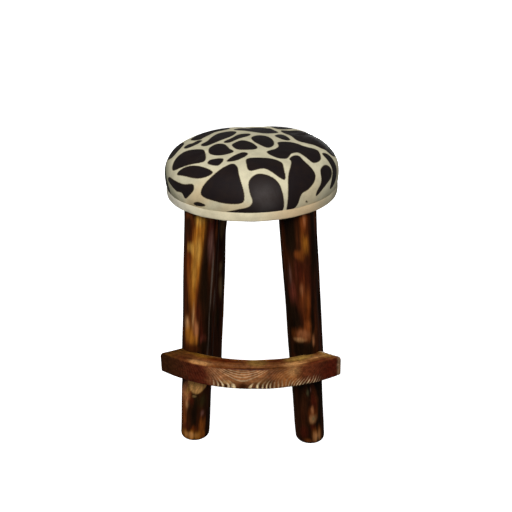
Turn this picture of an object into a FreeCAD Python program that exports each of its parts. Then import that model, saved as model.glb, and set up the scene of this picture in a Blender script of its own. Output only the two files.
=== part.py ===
import FreeCAD, Part
import os
import Sketcher

# A round counter stool. Four log legs lean inwards and are wedged through a round seat board,
# a curved footrest is screwed into saddles on the front legs, and a domed foam pad lies under
# a fabric cover whose edge is stapled round the board and hidden by a band.
# Millimetres. The floor is Z = 0, the front is -Y, and the origin is under the middle of the
# stool's width and depth.

driving_sizes = (
    ("seat_diameter", 360, "over the covered seat at its widest line"),
    ("seat_underside", 530, "from the floor to the underside of the seat board"),
    ("board_thickness", 28, "seat board"),
    ("board_edge", 3, "rounding of the seat board's edges"),
    ("edge_drop", 9, "from the board's top down to where the cover leaves its edge"),
    ("pad_overhang", 7.5, "bulge of the cover past its run on the board's edge"),
    ("bulge_rise", 8, "from the board's top up to the widest line"),
    ("shoulder_radius", 65, "round of the pad from its side to its crown"),
    ("crown_rise", 9, "from the top of the shoulder to the middle of the crown"),
    ("cover_thickness", 2.5, "pile fabric"),
    ("cover_gap", 0.3, "between the cover and the foam, and the cover and the band"),
    ("band_thickness", 2.5, "band round the rim"),
    ("foot_spacing", 256, "between leg axes at the floor"),
    ("top_spacing", 188, "between leg axes at the underside of the board"),
    ("foot_diameter", 63, "leg at the floor"),
    ("top_diameter", 72.5, "leg at the underside of the board"),
    ("foot_rounding", 8, "round of the foot's edge"),
    ("tenon_diameter", 38, "tenon through the seat board"),
    ("tenon_gap", 0.1, "glue line round the tenon"),
    ("wedge_length", 22, "wedge along the tenon"),
    ("wedge_thick_end", 5, "wedge at the top of the board"),
    ("wedge_thin_end", 1.5, "wedge at the bottom of its kerf"),
    ("footrest_top", 219, "from the floor to the top of the footrest"),
    ("footrest_height", 49, "footrest from top to bottom"),
    ("footrest_depth", 41, "footrest from front to back"),
    ("footrest_radius", 312, "front face of the footrest, seen from above"),
    ("footrest_span", 386, "between the footrest's front corners"),
    ("footrest_back_span", 306, "between the footrest's back corners"),
    ("footrest_edge", 4, "rounding of the footrest's edges"),
    ("saddle_depth", 9, "footrest let into the front legs"),
    ("saddle_drop", 31, "flat of the saddle below the footrest"),
    ("saddle_runout", 21, "length of the ramp below the flat"),
    ("saddle_gap", 0.1, "between the footrest and its saddles"),
    ("screw_diameter", 5, "footrest screw"),
    ("screw_head", 10, "countersunk head of the footrest screw"),
    ("screw_rim", 0.6, "edge of the screw's head"),
    ("screw_point", 7, "tapered point of the footrest screw"),
    ("screw_bite", 22, "how far the screw goes into the footrest"),
    ("screw_sink", 2, "head below the back of the leg"),
    ("screw_spacing", 22, "between the two screws of a leg"),
    ("screw_gap", 0.1, "round the screw in its hole"),
    ("staple_count", 32, "staples round the board"),
    ("staple_width", 10, "crown of the staple"),
    ("staple_depth", 9, "legs of the staple"),
    ("staple_wire", 1.1, "wire of the staple"),
    ("staple_sink", 0.3, "crown below the face of the cover"),
)

doc = FreeCAD.newDocument("counter_stool")
sheet = doc.addObject("Spreadsheet::Sheet", "Sizes")
for row, (name, size, note) in enumerate(driving_sizes, start=1):
    sheet.set(f"A{row}", name)
    sheet.set(f"B{row}", str(size))
    sheet.set(f"C{row}", note)
    sheet.setAlias(f"B{row}", name)
doc.recompute()

# Levels and radii of the seat, as expressions on the sheet.
underside = "Sizes.seat_underside"
board_top = f"({underside} + Sizes.board_thickness)"
crease = f"({board_top} - Sizes.edge_drop)"
wide_level = f"({board_top} + Sizes.bulge_rise)"
crown_top = f"({wide_level} + Sizes.shoulder_radius + Sizes.crown_rise)"
seat_radius = "(Sizes.seat_diameter / 2)"
cover_radius = f"({seat_radius} - Sizes.pad_overhang)"
board_radius = f"({cover_radius} - Sizes.cover_thickness)"

# The pad's side is an arc from the crease out to the widest line, its shoulder is an arc from
# there up, and its crown is a flat arc that leaves the shoulder without a corner.
bulge_height = "(Sizes.bulge_rise + Sizes.edge_drop)"
bulge_radius = f"((Sizes.pad_overhang ^ 2 + {bulge_height} ^ 2) / (2 * Sizes.pad_overhang))"
shoulder_x = f"({seat_radius} - Sizes.shoulder_radius)"
shoulder_rise = "(Sizes.shoulder_radius + Sizes.crown_rise)"
crown_radius = (
    f"(({shoulder_x} ^ 2 + {shoulder_rise} ^ 2 - Sizes.shoulder_radius ^ 2) / (2 * Sizes.crown_rise))"
)

# Each leg leans in by the same amount along X and along Y.
lean = "((Sizes.foot_spacing - Sizes.top_spacing) / 2)"
leg_length = f"sqrt({underside} ^ 2 + 2 * {lean} ^ 2)"
leg_angle = f"atan(sqrt(2) * {lean} / {underside})"
leg_flare = f"((Sizes.top_diameter - Sizes.foot_diameter) / 2 / {leg_length})"

# The footrest's arc has its centre behind the front legs, where it sinks the footrest into
# them by the saddle's depth. Distances here are from the seat's axis.
footrest_middle = "(Sizes.footrest_top - Sizes.footrest_height / 2)"
footrest_bottom = "(Sizes.footrest_top - Sizes.footrest_height)"
footrest_back = "(Sizes.footrest_radius - Sizes.footrest_depth)"
front_leg_offset = f"(Sizes.foot_spacing / 2 - {lean} * {footrest_middle} / {underside})"
front_leg_radius = f"(Sizes.foot_diameter / 2 + {leg_flare} * {footrest_middle})"
leg_to_centre = f"({footrest_back} + Sizes.saddle_depth - {front_leg_radius})"
centre_behind_legs = f"sqrt({leg_to_centre} ^ 2 - {front_leg_offset} ^ 2)"
footrest_reach = f"(Sizes.footrest_radius + {front_leg_offset} - {centre_behind_legs})"

# The footrest stands out in front more than the seat does behind, so the seat's axis is that
# much behind the origin.
seat_y = f"(({footrest_reach} - {seat_radius}) / 2)"
footrest_y = f"({seat_y} - {footrest_reach} + Sizes.footrest_radius)"

hairline = 0.001  # lengths below this count as nothing

leg_corners = {
    "front_left": (-1, -1),
    "front_right": (1, -1),
    "rear_right": (1, 1),
    "rear_left": (-1, 1),
}


def value(expression):
    return float(sheet.evalExpression(expression))


def bind(piece, **expressions):
    for prop, expression in expressions.items():
        piece.setExpression(prop, expression)
    return piece


def boolean(kind, name, base, tool):
    piece = doc.addObject(f"Part::{kind}", name)
    piece.Base = base
    piece.Tool = tool
    return piece


def group(name, members):
    piece = doc.addObject("Part::Compound", name)
    piece.Links = members
    return piece


def new_sketch(body, name, role):
    sketch = body.newObject("Sketcher::SketchObject", name)
    plane = next(item for item in body.Origin.OriginFeatures if item.Role == role)
    sketch.AttachmentSupport = [(plane, "")]
    sketch.MapMode = "FlatFace"
    return sketch


def arc_between(start, end, radius):
    # The arc bulges to the right of the way from start to end.
    chord = end - start
    half = chord.Length / 2
    height = radius - (radius ** 2 - half ** 2) ** 0.5
    side = FreeCAD.Vector(chord.y, -chord.x, 0).normalize()
    return Part.Arc(start, (start + end) / 2 + side * height, end)


def outline(sketch, corners, arcs):
    # A closed outline through corners given as expressions. For an edge that leaves its corner
    # as an arc, arcs gives the radius and the side of the way to which it bulges.
    arcs = arcs or {}
    points = [FreeCAD.Vector(value(x), value(y), 0) for x, y in corners]
    starts = []
    ends = []
    for index, start in enumerate(points):
        end = points[(index + 1) % len(points)]
        if index in arcs:
            radius, side = arcs[index]
            way = (start, end) if side == "right" else (end, start)
            edge = sketch.addGeometry(arc_between(*way, value(radius)), False)
            number = sketch.addConstraint(Sketcher.Constraint("Radius", edge, value(radius)))
            sketch.setExpression(f"Constraints[{number}]", radius)
            forward = sketch.Geometry[edge].StartPoint.distanceToPoint(start) < hairline
        else:
            edge = sketch.addGeometry(Part.LineSegment(start, end), False)
            forward = True
        starts.append((edge, 1 if forward else 2))
        ends.append((edge, 2 if forward else 1))
    for index, (x, y) in enumerate(corners):
        sketch.addConstraint(Sketcher.Constraint("Coincident", *ends[index - 1], *starts[index]))
        for kind, expression in (("DistanceX", x), ("DistanceY", y)):
            place = Sketcher.Constraint(kind, -1, 1, *starts[index], value(expression))
            number = sketch.addConstraint(place)
            sketch.setExpression(f"Constraints[{number}]", expression)


def turned(name, corners, arcs=None):
    # A body turned about its Z axis from a half profile of (radius, level) corners.
    body = doc.addObject("PartDesign::Body", name)
    sketch = new_sketch(body, f"{name}_profile", "XZ_Plane")
    outline(sketch, corners, arcs)
    turn = body.newObject("PartDesign::Revolution", f"{name}_turn")
    turn.Profile = sketch
    turn.ReferenceAxis = (sketch, ["V_Axis"])
    turn.Angle = 360
    return body


def padded(name, role, corners, length, arcs=None, symmetric=False):
    # A body padded from an outline, to one side of its plane or to both.
    body = doc.addObject("PartDesign::Body", name)
    sketch = new_sketch(body, f"{name}_outline", role)
    outline(sketch, corners, arcs)
    pad = body.newObject("PartDesign::Pad", f"{name}_pad")
    pad.Profile = sketch
    pad.SideType = "Symmetric" if symmetric else "One side"
    bind(pad, Length=length)
    return body


def on_seat_axis(piece):
    return bind(piece, Placement=f"placement(vector(0; {seat_y}; 0); rotation(0; 0; 0))")


def along_leg(piece, corner, start):
    # Stands the piece's own Z axis on a leg's axis, starting that far up from the floor.
    side_x, side_y = leg_corners[corner]
    offset = f"(Sizes.foot_spacing / 2 - {lean} * ({start}) / {leg_length})"
    level = f"{underside} * ({start}) / {leg_length}"
    base = f"vector({side_x} * {offset}; {seat_y} + {side_y} * {offset}; {level})"
    turn = f"rotation(vector({side_y}; {-side_x}; 0); {leg_angle})"
    return bind(piece, Placement=f"placement({base}; {turn})")


def slab(name, bottom, top):
    # A level slice of the stool, which cuts the legs and tenons square to the floor.
    box = doc.addObject("Part::Box", name)
    width = "(2 * (Sizes.foot_spacing + Sizes.top_spacing))"
    bind(box, Length=width, Width=width, Height=f"{top} - {bottom}")
    corner = f"vector(-{width} / 2; {seat_y} - {width} / 2; {bottom})"
    return bind(box, Placement=f"placement({corner}; rotation(0; 0; 0))")


# Legs: tapered logs cut level at the floor and under the board, with a round tenon that goes
# through the board and is split by a wedge.
log_spare = "Sizes.top_diameter"
tenon_spare = "Sizes.tenon_diameter"
tenon_end = f"({leg_length} * {board_top} / {underside})"
wedge_slope = "((Sizes.wedge_thick_end - Sizes.wedge_thin_end) / Sizes.wedge_length)"
wedge_thin = "(Sizes.wedge_thin_end / 2)"
wedge_wide = f"((Sizes.wedge_thick_end + {wedge_slope} * {tenon_spare}) / 2)"

leg_slab = slab("leg_slab", "0", underside)
tenon_slab = slab("tenon_slab", f"({underside} - {tenon_spare})", board_top)


def make_leg(corner):
    log = doc.addObject("Part::Cone", f"{corner}_log")
    bind(
        log,
        Radius1=f"Sizes.foot_diameter / 2 - {leg_flare} * {log_spare}",
        Radius2=f"Sizes.top_diameter / 2 + {leg_flare} * {log_spare}",
        Height=f"{leg_length} + 2 * {log_spare}",
    )
    along_leg(log, corner, f"-{log_spare}")
    post = boolean("Common", f"{corner}_post", log, leg_slab)
    doc.recompute()

    foot = doc.addObject("Part::Fillet", f"{corner}_foot")
    foot.Base = post
    rounding = value("Sizes.foot_rounding")
    foot.Edges = [
        (number, rounding, rounding)
        for number, edge in enumerate(post.Shape.Edges, start=1)
        if max(abs(edge.BoundBox.ZMin), abs(edge.BoundBox.ZMax)) < hairline
    ]

    rod = doc.addObject("Part::Cylinder", f"{corner}_rod")
    bind(rod, Radius="Sizes.tenon_diameter / 2", Height=f"{tenon_end} - {leg_length} + 3 * {tenon_spare}")
    along_leg(rod, corner, f"{leg_length} - 2 * {tenon_spare}")
    tenon = boolean("Common", f"{corner}_tenon", rod, tenon_slab)

    low = f"({tenon_end} - Sizes.wedge_length)"
    high = f"({tenon_end} + {tenon_spare})"
    corners = [
        (f"-{wedge_thin}", low),
        (wedge_thin, low),
        (wedge_wide, high),
        (f"-{wedge_wide}", high),
    ]
    blank = padded(f"{corner}_wedge_blank", "XZ_Plane", corners, f"2 * {tenon_spare}", symmetric=True)
    along_leg(blank, corner, "0")
    wedge = boolean("Common", f"{corner}_wedge", tenon, blank)

    whole = boolean("Fuse", f"{corner}_whole", foot, tenon)
    return boolean("Cut", f"{corner}_kerfed", whole, wedge), wedge


legs = {}
wedges = []
for corner in leg_corners:
    legs[corner], wedge = make_leg(corner)
    wedges.append(wedge)
group("tenon_wedges", wedges)

# Footrest: a plank sawn to an arc, with slanting ends and eased edges.
front_half = "(Sizes.footrest_span / 2)"
back_half = "(Sizes.footrest_back_span / 2)"
back_face = f"({footrest_back} + Sizes.saddle_gap)"
front_corner_y = f"-sqrt(Sizes.footrest_radius ^ 2 - {front_half} ^ 2)"
back_corner_y = f"-sqrt({back_face} ^ 2 - {back_half} ^ 2)"
plank_corners = [
    (f"-{front_half}", front_corner_y),
    (front_half, front_corner_y),
    (back_half, back_corner_y),
    (f"-{back_half}", back_corner_y),
]
plank_arcs = {0: ("Sizes.footrest_radius", "right"), 2: (back_face, "left")}
plank = padded("footrest_plank", "XY_Plane", plank_corners, "Sizes.footrest_height", plank_arcs)
bind(plank, Placement=f"placement(vector(0; {footrest_y}; {footrest_bottom}); rotation(0; 0; 0))")
doc.recompute()
plank_pad = plank.Tip
easing = plank.newObject("PartDesign::Fillet", "footrest_easing")
easing.Base = (plank_pad, [f"Edge{n}" for n in range(1, len(plank_pad.Shape.Edges) + 1)])
bind(easing, Radius="Sizes.footrest_edge")

# Saddles: the front legs are cut back to the footrest's inner face. The flat goes on below the
# footrest and runs out on a ramp.
saddle_top = "(Sizes.footrest_top + Sizes.saddle_gap)"
saddle_bottom = f"({footrest_bottom} - Sizes.saddle_gap - Sizes.saddle_drop)"
ramp_drop = "(Sizes.saddle_runout * Sizes.footrest_depth / Sizes.saddle_depth)"
saddle_corners = [
    (footrest_back, saddle_bottom),
    ("Sizes.footrest_radius", f"{saddle_bottom} - {ramp_drop}"),
    ("Sizes.footrest_radius", saddle_top),
    (footrest_back, saddle_top),
]
saddle = turned("saddle_cutter", saddle_corners)
bind(saddle, Placement=f"placement(vector(0; {footrest_y}; 0); rotation(0; 0; 0))")

# Screws: from the back of each front leg, towards the arc, with the head below the surface.
head_radius = "(Sizes.screw_head / 2)"
shank_radius = "(Sizes.screw_diameter / 2)"
screw_length = (
    f"({front_leg_radius} - Sizes.screw_sink + {footrest_back} - {leg_to_centre} + Sizes.screw_bite)"
)


def make_screw(name, gap, back):
    # A countersunk screw along +Z from its head, larger by a gap and longer at the back.
    corners = [
        ("0", f"-{back}"),
        (f"{head_radius} + {gap}", f"-{back}"),
        (f"{head_radius} + {gap}", "Sizes.screw_rim"),
        (f"{shank_radius} + {gap}", f"Sizes.screw_rim + {head_radius} - {shank_radius}"),
        (f"{shank_radius} + {gap}", f"{screw_length} - Sizes.screw_point"),
        ("0", f"{screw_length} + {gap}"),
    ]
    return turned(name, corners)


def through_leg(piece, side_x, level):
    # Lays the piece's Z axis level through a front leg's axis, away from the arc's centre.
    offset = f"(Sizes.foot_spacing / 2 - {lean} * ({level}) / {underside})"
    ahead = f"({offset} + {footrest_y} - {seat_y})"
    distance = f"sqrt({offset} ^ 2 + {ahead} ^ 2)"
    share = f"(1 - ({front_leg_radius} - Sizes.screw_sink) / {distance})"
    base = f"vector({side_x} * {offset} * {share}; {footrest_y} - {ahead} * {share}; {level})"
    turn = f"rotation({side_x} * atan({offset} / {ahead}); 0; 90)"
    return bind(piece, Placement=f"placement({base}; {turn})")


screws = []
drills = []
for side_name, side_x in (("left", -1), ("right", 1)):
    for row_name, row in (("lower", -1), ("upper", 1)):
        level = f"({footrest_middle} + {row} * Sizes.screw_spacing / 2)"
        screw = make_screw(f"{side_name}_{row_name}_screw", "0", "0")
        drill = make_screw(f"{side_name}_{row_name}_drill", "Sizes.screw_gap", "Sizes.foot_diameter / 2")
        screws.append(through_leg(screw, side_x, level))
        drills.append(through_leg(drill, side_x, level))
group("footrest_screws", screws)
drill_holes = group("screw_holes", drills)
boolean("Cut", "footrest", plank, drill_holes)

for corner, leg in legs.items():
    if corner.startswith("front"):
        leg = boolean("Cut", f"{corner}_saddled", leg, saddle)
        leg = boolean("Cut", f"{corner}_drilled", leg, drill_holes)
    leg.Label = f"{corner}_leg"

# Seat board: a round board with eased edges and a slanted bore for each tenon.
board_corners = [
    ("0", underside),
    (f"{board_radius} - Sizes.board_edge", underside),
    (board_radius, f"{underside} + Sizes.board_edge"),
    (board_radius, f"{board_top} - Sizes.board_edge"),
    (f"{board_radius} - Sizes.board_edge", board_top),
    ("0", board_top),
]
board_arcs = {1: ("Sizes.board_edge", "right"), 3: ("Sizes.board_edge", "right")}
board = on_seat_axis(turned("board_blank", board_corners, board_arcs))
bores = []
for corner in leg_corners:
    bore = doc.addObject("Part::Cylinder", f"{corner}_bore")
    bind(bore, Radius="Sizes.tenon_diameter / 2 + Sizes.tenon_gap")
    bind(bore, Height=f"{tenon_end} - {leg_length} + 2 * {tenon_spare}")
    bores.append(along_leg(bore, corner, f"{leg_length} - {tenon_spare}"))
bored_board = boolean("Cut", "bored_board", board, group("tenon_bores", bores))


# Pad: its profile is offset inwards for the cover's inner face and for the foam.
def pad_profile(inset, foot_x, foot_level):
    # The corners from the side's foot up to the middle of the crown, and the radii between.
    share = f"(({crown_radius} - {inset}) / ({crown_radius} - Sizes.shoulder_radius))"
    crown_centre = f"({crown_top} - {crown_radius})"
    corners = [
        (foot_x, foot_level),
        (f"{seat_radius} - {inset}", wide_level),
        (f"{shoulder_x} * {share}", f"{crown_centre} + ({wide_level} - {crown_centre}) * {share}"),
        ("0", f"{crown_top} - {inset}"),
    ]
    radii = [
        f"({bulge_radius} - {inset})",
        f"(Sizes.shoulder_radius - {inset})",
        f"({crown_radius} - {inset})",
    ]
    return corners, radii


foam_inset = "(Sizes.cover_thickness + Sizes.cover_gap)"
bulge_x = f"({seat_radius} - {bulge_radius})"
foam_foot = f"{bulge_x} + sqrt(({bulge_radius} - {foam_inset}) ^ 2 - Sizes.bulge_rise ^ 2)"
foam_corners, foam_radii = pad_profile(foam_inset, foam_foot, board_top)
foam_arcs = {number: (radius, "right") for number, radius in enumerate(foam_radii)}
on_seat_axis(turned("foam_pad", foam_corners + [("0", board_top)], foam_arcs))

# Cover: a shell over the foam that runs straight down the board's edge below the crease.
inner_inset = "Sizes.cover_thickness"
inner_reach = f"({bulge_radius} - {inner_inset})"
inner_crease = f"{wide_level} - sqrt({inner_reach} ^ 2 - ({board_radius} - {bulge_x}) ^ 2)"
outer_corners, outer_radii = pad_profile("0", cover_radius, crease)
inner_corners, inner_radii = pad_profile(inner_inset, board_radius, inner_crease)
cover_corners = (
    [(cover_radius, underside)] + outer_corners + inner_corners[::-1] + [(board_radius, underside)]
)
cover_arcs = {number: (radius, "right") for number, radius in enumerate(outer_radii, start=1)}
first_inner = 1 + len(outer_corners)
for number, radius in enumerate(inner_radii[::-1], start=first_inner):
    cover_arcs[number] = (radius, "left")
cover = on_seat_axis(turned("cover_shell", cover_corners, cover_arcs))

# Staples: driven through the cover into the board's edge, half way up the band.
crown_face = f"({cover_radius} - Sizes.staple_sink)"
crown_back = f"({crown_face} - Sizes.staple_wire)"
staple_tip = f"({crown_face} - Sizes.staple_depth)"
outer_half = "(Sizes.staple_width / 2)"
inner_half = f"({outer_half} - Sizes.staple_wire)"
staple_corners = [
    (staple_tip, f"-{outer_half}"),
    (crown_face, f"-{outer_half}"),
    (crown_face, outer_half),
    (staple_tip, outer_half),
    (staple_tip, inner_half),
    (crown_back, inner_half),
    (crown_back, f"-{inner_half}"),
    (staple_tip, f"-{inner_half}"),
]
staples = padded("cover_staples", "XY_Plane", staple_corners, "Sizes.staple_wire", symmetric=True)
staples.AllowCompound = True
one_staple = staples.Tip
ring = staples.newObject("PartDesign::PolarPattern", "staple_ring")
ring.Originals = [one_staple]
ring.Axis = (one_staple.Profile[0], ["N_Axis"])
ring.Angle = 360
bind(ring, Occurrences="Sizes.staple_count")
staples.Tip = ring
staple_level = f"(({underside} + {crease}) / 2)"
bind(staples, Placement=f"placement(vector(0; {seat_y}; {staple_level}); rotation(0; 0; 0))")
boolean("Cut", "seat_board", bored_board, staples)
boolean("Cut", "seat_cover", cover, staples)

# Band: a strip round the cover's straight edge, with rounded outer edges.
band_back = f"({cover_radius} + Sizes.cover_gap)"
band_face = f"({band_back} + Sizes.band_thickness)"
band_round = "(Sizes.band_thickness / 2)"
band_corners = [
    (band_back, underside),
    (f"{band_face} - {band_round}", underside),
    (band_face, f"{underside} + {band_round}"),
    (band_face, f"{crease} - {band_round}"),
    (f"{band_face} - {band_round}", crease),
    (band_back, crease),
]
band_arcs = {1: (band_round, "right"), 3: (band_round, "right")}
on_seat_axis(turned("rim_band", band_corners, band_arcs))

sub_parts = (
    "front_left_leg",
    "front_right_leg",
    "rear_left_leg",
    "rear_right_leg",
    "tenon_wedges",
    "footrest",
    "footrest_screws",
    "seat_board",
    "foam_pad",
    "seat_cover",
    "cover_staples",
    "rim_band",
)

doc.recompute()
for item in doc.Objects:
    if "Invalid" in item.State or "Error" in item.State:
        raise RuntimeError(f"{item.Label} failed: {item.State}")
shapes = {label: doc.getObjectsByLabel(label)[0].Shape for label in sub_parts}
for label, shape in shapes.items():
    if shape.isNull() or not shape.isValid() or not shape.Solids:
        raise RuntimeError(f"{label} has no valid solid")

os.makedirs("parts", exist_ok=True)
for label, shape in shapes.items():
    shape.exportStep(f"parts/{label}.step")
    print(f"{label}: {len(shape.Solids)} solid(s), {shape.Volume / 1000:.1f} cm3")
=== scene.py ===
import bpy
import numpy as np
from mathutils import Matrix, Vector


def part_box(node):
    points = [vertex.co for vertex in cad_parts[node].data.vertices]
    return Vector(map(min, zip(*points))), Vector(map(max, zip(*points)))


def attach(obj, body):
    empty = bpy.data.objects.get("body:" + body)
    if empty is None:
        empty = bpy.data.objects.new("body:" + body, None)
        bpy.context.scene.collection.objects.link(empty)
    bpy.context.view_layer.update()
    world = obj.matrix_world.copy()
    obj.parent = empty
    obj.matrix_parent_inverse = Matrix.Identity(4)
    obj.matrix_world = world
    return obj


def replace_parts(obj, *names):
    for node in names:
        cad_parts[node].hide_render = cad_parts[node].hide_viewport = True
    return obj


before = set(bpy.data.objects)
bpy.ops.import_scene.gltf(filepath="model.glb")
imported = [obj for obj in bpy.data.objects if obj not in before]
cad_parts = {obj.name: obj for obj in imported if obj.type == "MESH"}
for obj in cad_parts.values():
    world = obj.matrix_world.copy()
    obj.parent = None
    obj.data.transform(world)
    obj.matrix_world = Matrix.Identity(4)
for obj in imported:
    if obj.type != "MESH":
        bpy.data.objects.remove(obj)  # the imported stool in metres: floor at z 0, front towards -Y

mm = 0.001
scene = bpy.context.scene
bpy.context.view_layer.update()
boardLow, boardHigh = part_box("seat_board")
seatY = (boardLow.y + boardHigh.y) / 2 / mm  # the seat's axis stands here, at x 0
waveRepeat = 0.314  # a wave texture of Scale 1 repeats after this length, 2 pi / 20
strokeEdge = (0.2, 1.35)  # shares of a stroke's half size at which it starts to fade and is gone
print("frame:", len(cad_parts), "nodes")


def linear(code):
    # sRGB hex to linear light
    part = np.array([int(code[i:i + 2], 16) / 255 for i in (1, 3, 5)])
    return np.where(part <= 0.04045, part / 12.92, ((part + 0.055) / 1.055) ** 2.4)


def fade(low, high, x):
    # smooth step: 0 at low, 1 at high
    share = np.clip((x - low) / (high - low), 0, 1)
    return share * share * (3 - 2 * share)


def hump(middle, half, x, power=2):
    # bell of height 1 that falls to 1/e at the half width, flatter on top for a higher even power
    return np.exp(-((x - middle) / half) ** power)


def wrapped(x, turn):
    # the same place round a full turn, within half a turn of 0
    return (x + turn / 2) % turn - turn / 2


def spline(a, b, c, d, t):
    # smooth curve from b to c, with its slopes taken from the neighbours a and d
    bend, twist = 2 * a - 5 * b + 4 * c - d, 3 * b - 3 * c + d - a
    return 0.5 * (2 * b + (c - a) * t + bend * t ** 2 + twist * t ** 3)


def circle(count):
    # angles once round, as one row
    return np.arange(count)[None] * 2 * np.pi / count


def revolved(radius, level, turn):
    # points about the seat's axis, with angles from the front to the right
    return np.stack([radius * np.sin(turn), seatY - radius * np.cos(turn), level + 0 * turn], -1)


def waves(angle, along, seed, turns, length):
    # a sum of cosines with up to that many turns round and random wavelengths along, mostly within -2..2
    pick = np.random.default_rng(seed)
    terms, total = 36, 0
    for _ in range(terms):
        turn = pick.integers(0, turns + 1)
        rate = 2 * np.pi * pick.choice((-1, 1)) / (length * pick.uniform(0.5, 2))
        total = total + np.cos(turn * angle + rate * along + pick.uniform(0, 2 * np.pi))
    return total / np.sqrt(terms / 2)


def painted(code, shape):
    # a grid of one colour, to be brushed
    return np.broadcast_to(linear(code), (*shape, 3)).copy()


def withAlpha(colours, alpha):
    # colours with a fourth channel
    return np.concatenate([colours, np.broadcast_to(alpha, colours.shape[:-1])[..., None]], -1)


def brush(colours, strokes, tones, across, along, rough, turn=None):
    # soft oval strokes, one over another: middle, half sizes, tone, cover and for some a lean across per 100
    # along; rough frays their edges, and a full turn wraps them round
    for middle, level, wide, tall, tone, cover, *lean in strokes:
        side = across - middle - sum(lean) * (along - level) / 100
        if turn:
            side = wrapped(side, turn)
        reach = np.hypot(side / wide, (along - level) / tall) + rough
        share = cover * (1 - fade(*strokeEdge, reach))
        colours += share[..., None] * (linear(tones[tone]) - colours)


def quads(rows, cols):
    # faces between neighbours of a grid that closes both ways
    row, col = np.meshgrid(np.arange(rows), np.arange(cols), indexing="ij")
    below, after = (row + 1) % rows, (col + 1) % cols
    faces = np.stack([row * cols + col, row * cols + after, below * cols + after, below * cols + col], -1)
    return faces.reshape(-1, 4)


def shell(rings):
    # a skin over rings of points, open from the last ring to the first, where fans close both ends; gives
    # the points, and the faces as arrays of quads, first fan and last fan
    rows, cols = rings.shape[:2]
    points = np.concatenate([rings.reshape(-1, 3), rings[:1].mean(1), rings[-1:].mean(1)])
    col = np.arange(cols)
    after = (col + 1) % cols
    last = (rows - 1) * cols
    firstFan = np.stack([after, col, np.full(cols, rows * cols)], -1)
    lastFan = np.stack([last + col, last + after, np.full(cols, rows * cols + 1)], -1)
    return points, [quads(rows, cols)[:last], firstFan, lastFan]


def onShell(values):
    # grid values in the order of the shell's points, one row for each
    rows, cols = values.shape[:2]
    table = values.reshape(rows * cols, -1)
    return np.concatenate([table, table[:cols].mean(0)[None], table[-cols:].mean(0)[None]])


def addPiece(name, shells, material, attributes=None, sharp=40):
    # one object at the origin from shells in millimetres, with point attributes of 1, 3 or 4 channels
    kinds = {1: ("FLOAT", "value"), 3: ("FLOAT_VECTOR", "vector"), 4: ("FLOAT_COLOR", "color")}
    points, faces, start = [], [], 0
    for some, blocks in shells:
        points.append(some)
        for block in blocks:
            faces += (start + block).tolist()
        start += len(some)
    mesh = bpy.data.meshes.new(name)
    mesh.from_pydata(np.concatenate(points) * mm, [], faces)
    for label, values in (attributes or {}).items():
        kind, field = kinds[values.shape[-1]]
        mesh.attributes.new(label, kind, "POINT").data.foreach_set(field, values.astype(np.float32).ravel())
    mesh.shade_smooth()
    mesh.set_sharp_from_angle(angle=np.radians(sharp))
    mesh.materials.append(material)
    piece = bpy.data.objects.new(name, mesh)
    scene.collection.objects.link(piece)
    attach(piece, "root")
    print(name, len(mesh.polygons), "faces")
    return piece


def wire(tree, node, links):
    # each input takes a node's first output, or the output that a pair of node and name gives
    for key, source in links.items():
        giver, output = source if isinstance(source, tuple) else (source, 0)
        tree.links.new(giver.outputs[output], node.inputs[key])


def addNode(tree, kind, settings, links=None):
    # a lower-case key is the node's own setting, the stops of a ramp or the ranges of a map from low and high
    # to low and high; any other is an input, by name or number
    node = tree.nodes.new("ShaderNode" + kind)
    for key, value in settings.items():
        if key == "stops":
            ramp = node.color_ramp.elements
            for index, (place, code) in enumerate(value):
                stop = ramp[index] if index < 2 else ramp.new(place)
                stop.position = place
                stop.color = (*linear(code), 1)
        elif key == "ranges":
            for label, number in zip(("From Min", "From Max", "To Min", "To Max"), value):
                node.inputs[label].default_value = number
        elif isinstance(key, str) and key[0].islower():
            setattr(node, key, value)
        else:
            node.inputs[key].default_value = value
    wire(tree, node, links or {})
    return node


def newMaterial(name, settings):
    # a Principled material with the constants on the shader's own sockets
    material = bpy.data.materials.new(name)
    material.use_nodes = True
    shader = material.node_tree.nodes["Principled BSDF"]
    for key, value in settings.items():
        shader.inputs[key].default_value = value
    return material, material.node_tree, shader


# Camera: fitted to the photograph, looking at a point on the seat's axis.
camera = {"distance": 2000, "azimuth": 4.45, "elevation": 25.56, "roll": -1.11, "target": 330,
          "focalPixels": 912.13, "middle": (253.81, 275.98), "frame": 512, "sensor": 36, "clipEnd": 100}


def placeCamera(spec):
    # looks back at the target from azimuth and elevation, rolled; the picture's middle is moved by lens shift
    turn, rise, roll = np.radians([spec["azimuth"], spec["elevation"], spec["roll"]])
    back = np.array([np.sin(turn) * np.cos(rise), -np.cos(turn) * np.cos(rise), np.sin(rise)])
    level = np.array([np.cos(turn), np.sin(turn), 0])
    upright = np.cross(back, level)
    right = np.cos(roll) * level + np.sin(roll) * upright
    up = -np.sin(roll) * level + np.cos(roll) * upright
    place = np.array([0, seatY, spec["target"]]) + spec["distance"] * back
    pose = np.eye(4)
    pose[:3] = np.stack([right, up, back, place * mm], 1)
    eye = bpy.data.objects.new("camera", bpy.data.cameras.new("camera"))
    eye.matrix_world = Matrix(pose.tolist())
    eye.data.sensor_width = spec["sensor"]
    eye.data.lens = spec["focalPixels"] * spec["sensor"] / spec["frame"]
    eye.data.shift_x = (spec["frame"] / 2 - spec["middle"][0]) / spec["frame"]
    eye.data.shift_y = (spec["middle"][1] - spec["frame"] / 2) / spec["frame"]
    eye.data.clip_end = spec["clipEnd"]
    scene.collection.objects.link(eye)
    scene.camera = eye


placeCamera(camera)
print("camera placed")

# Clear lacquer on scorched wood: its coat alone gives the gloss, so the wood's own specular is off.
lacquer = {"IOR": 1.5, "Specular IOR Level": 0.0, "Coat Weight": 0.08, "Coat Roughness": 0.15}
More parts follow.
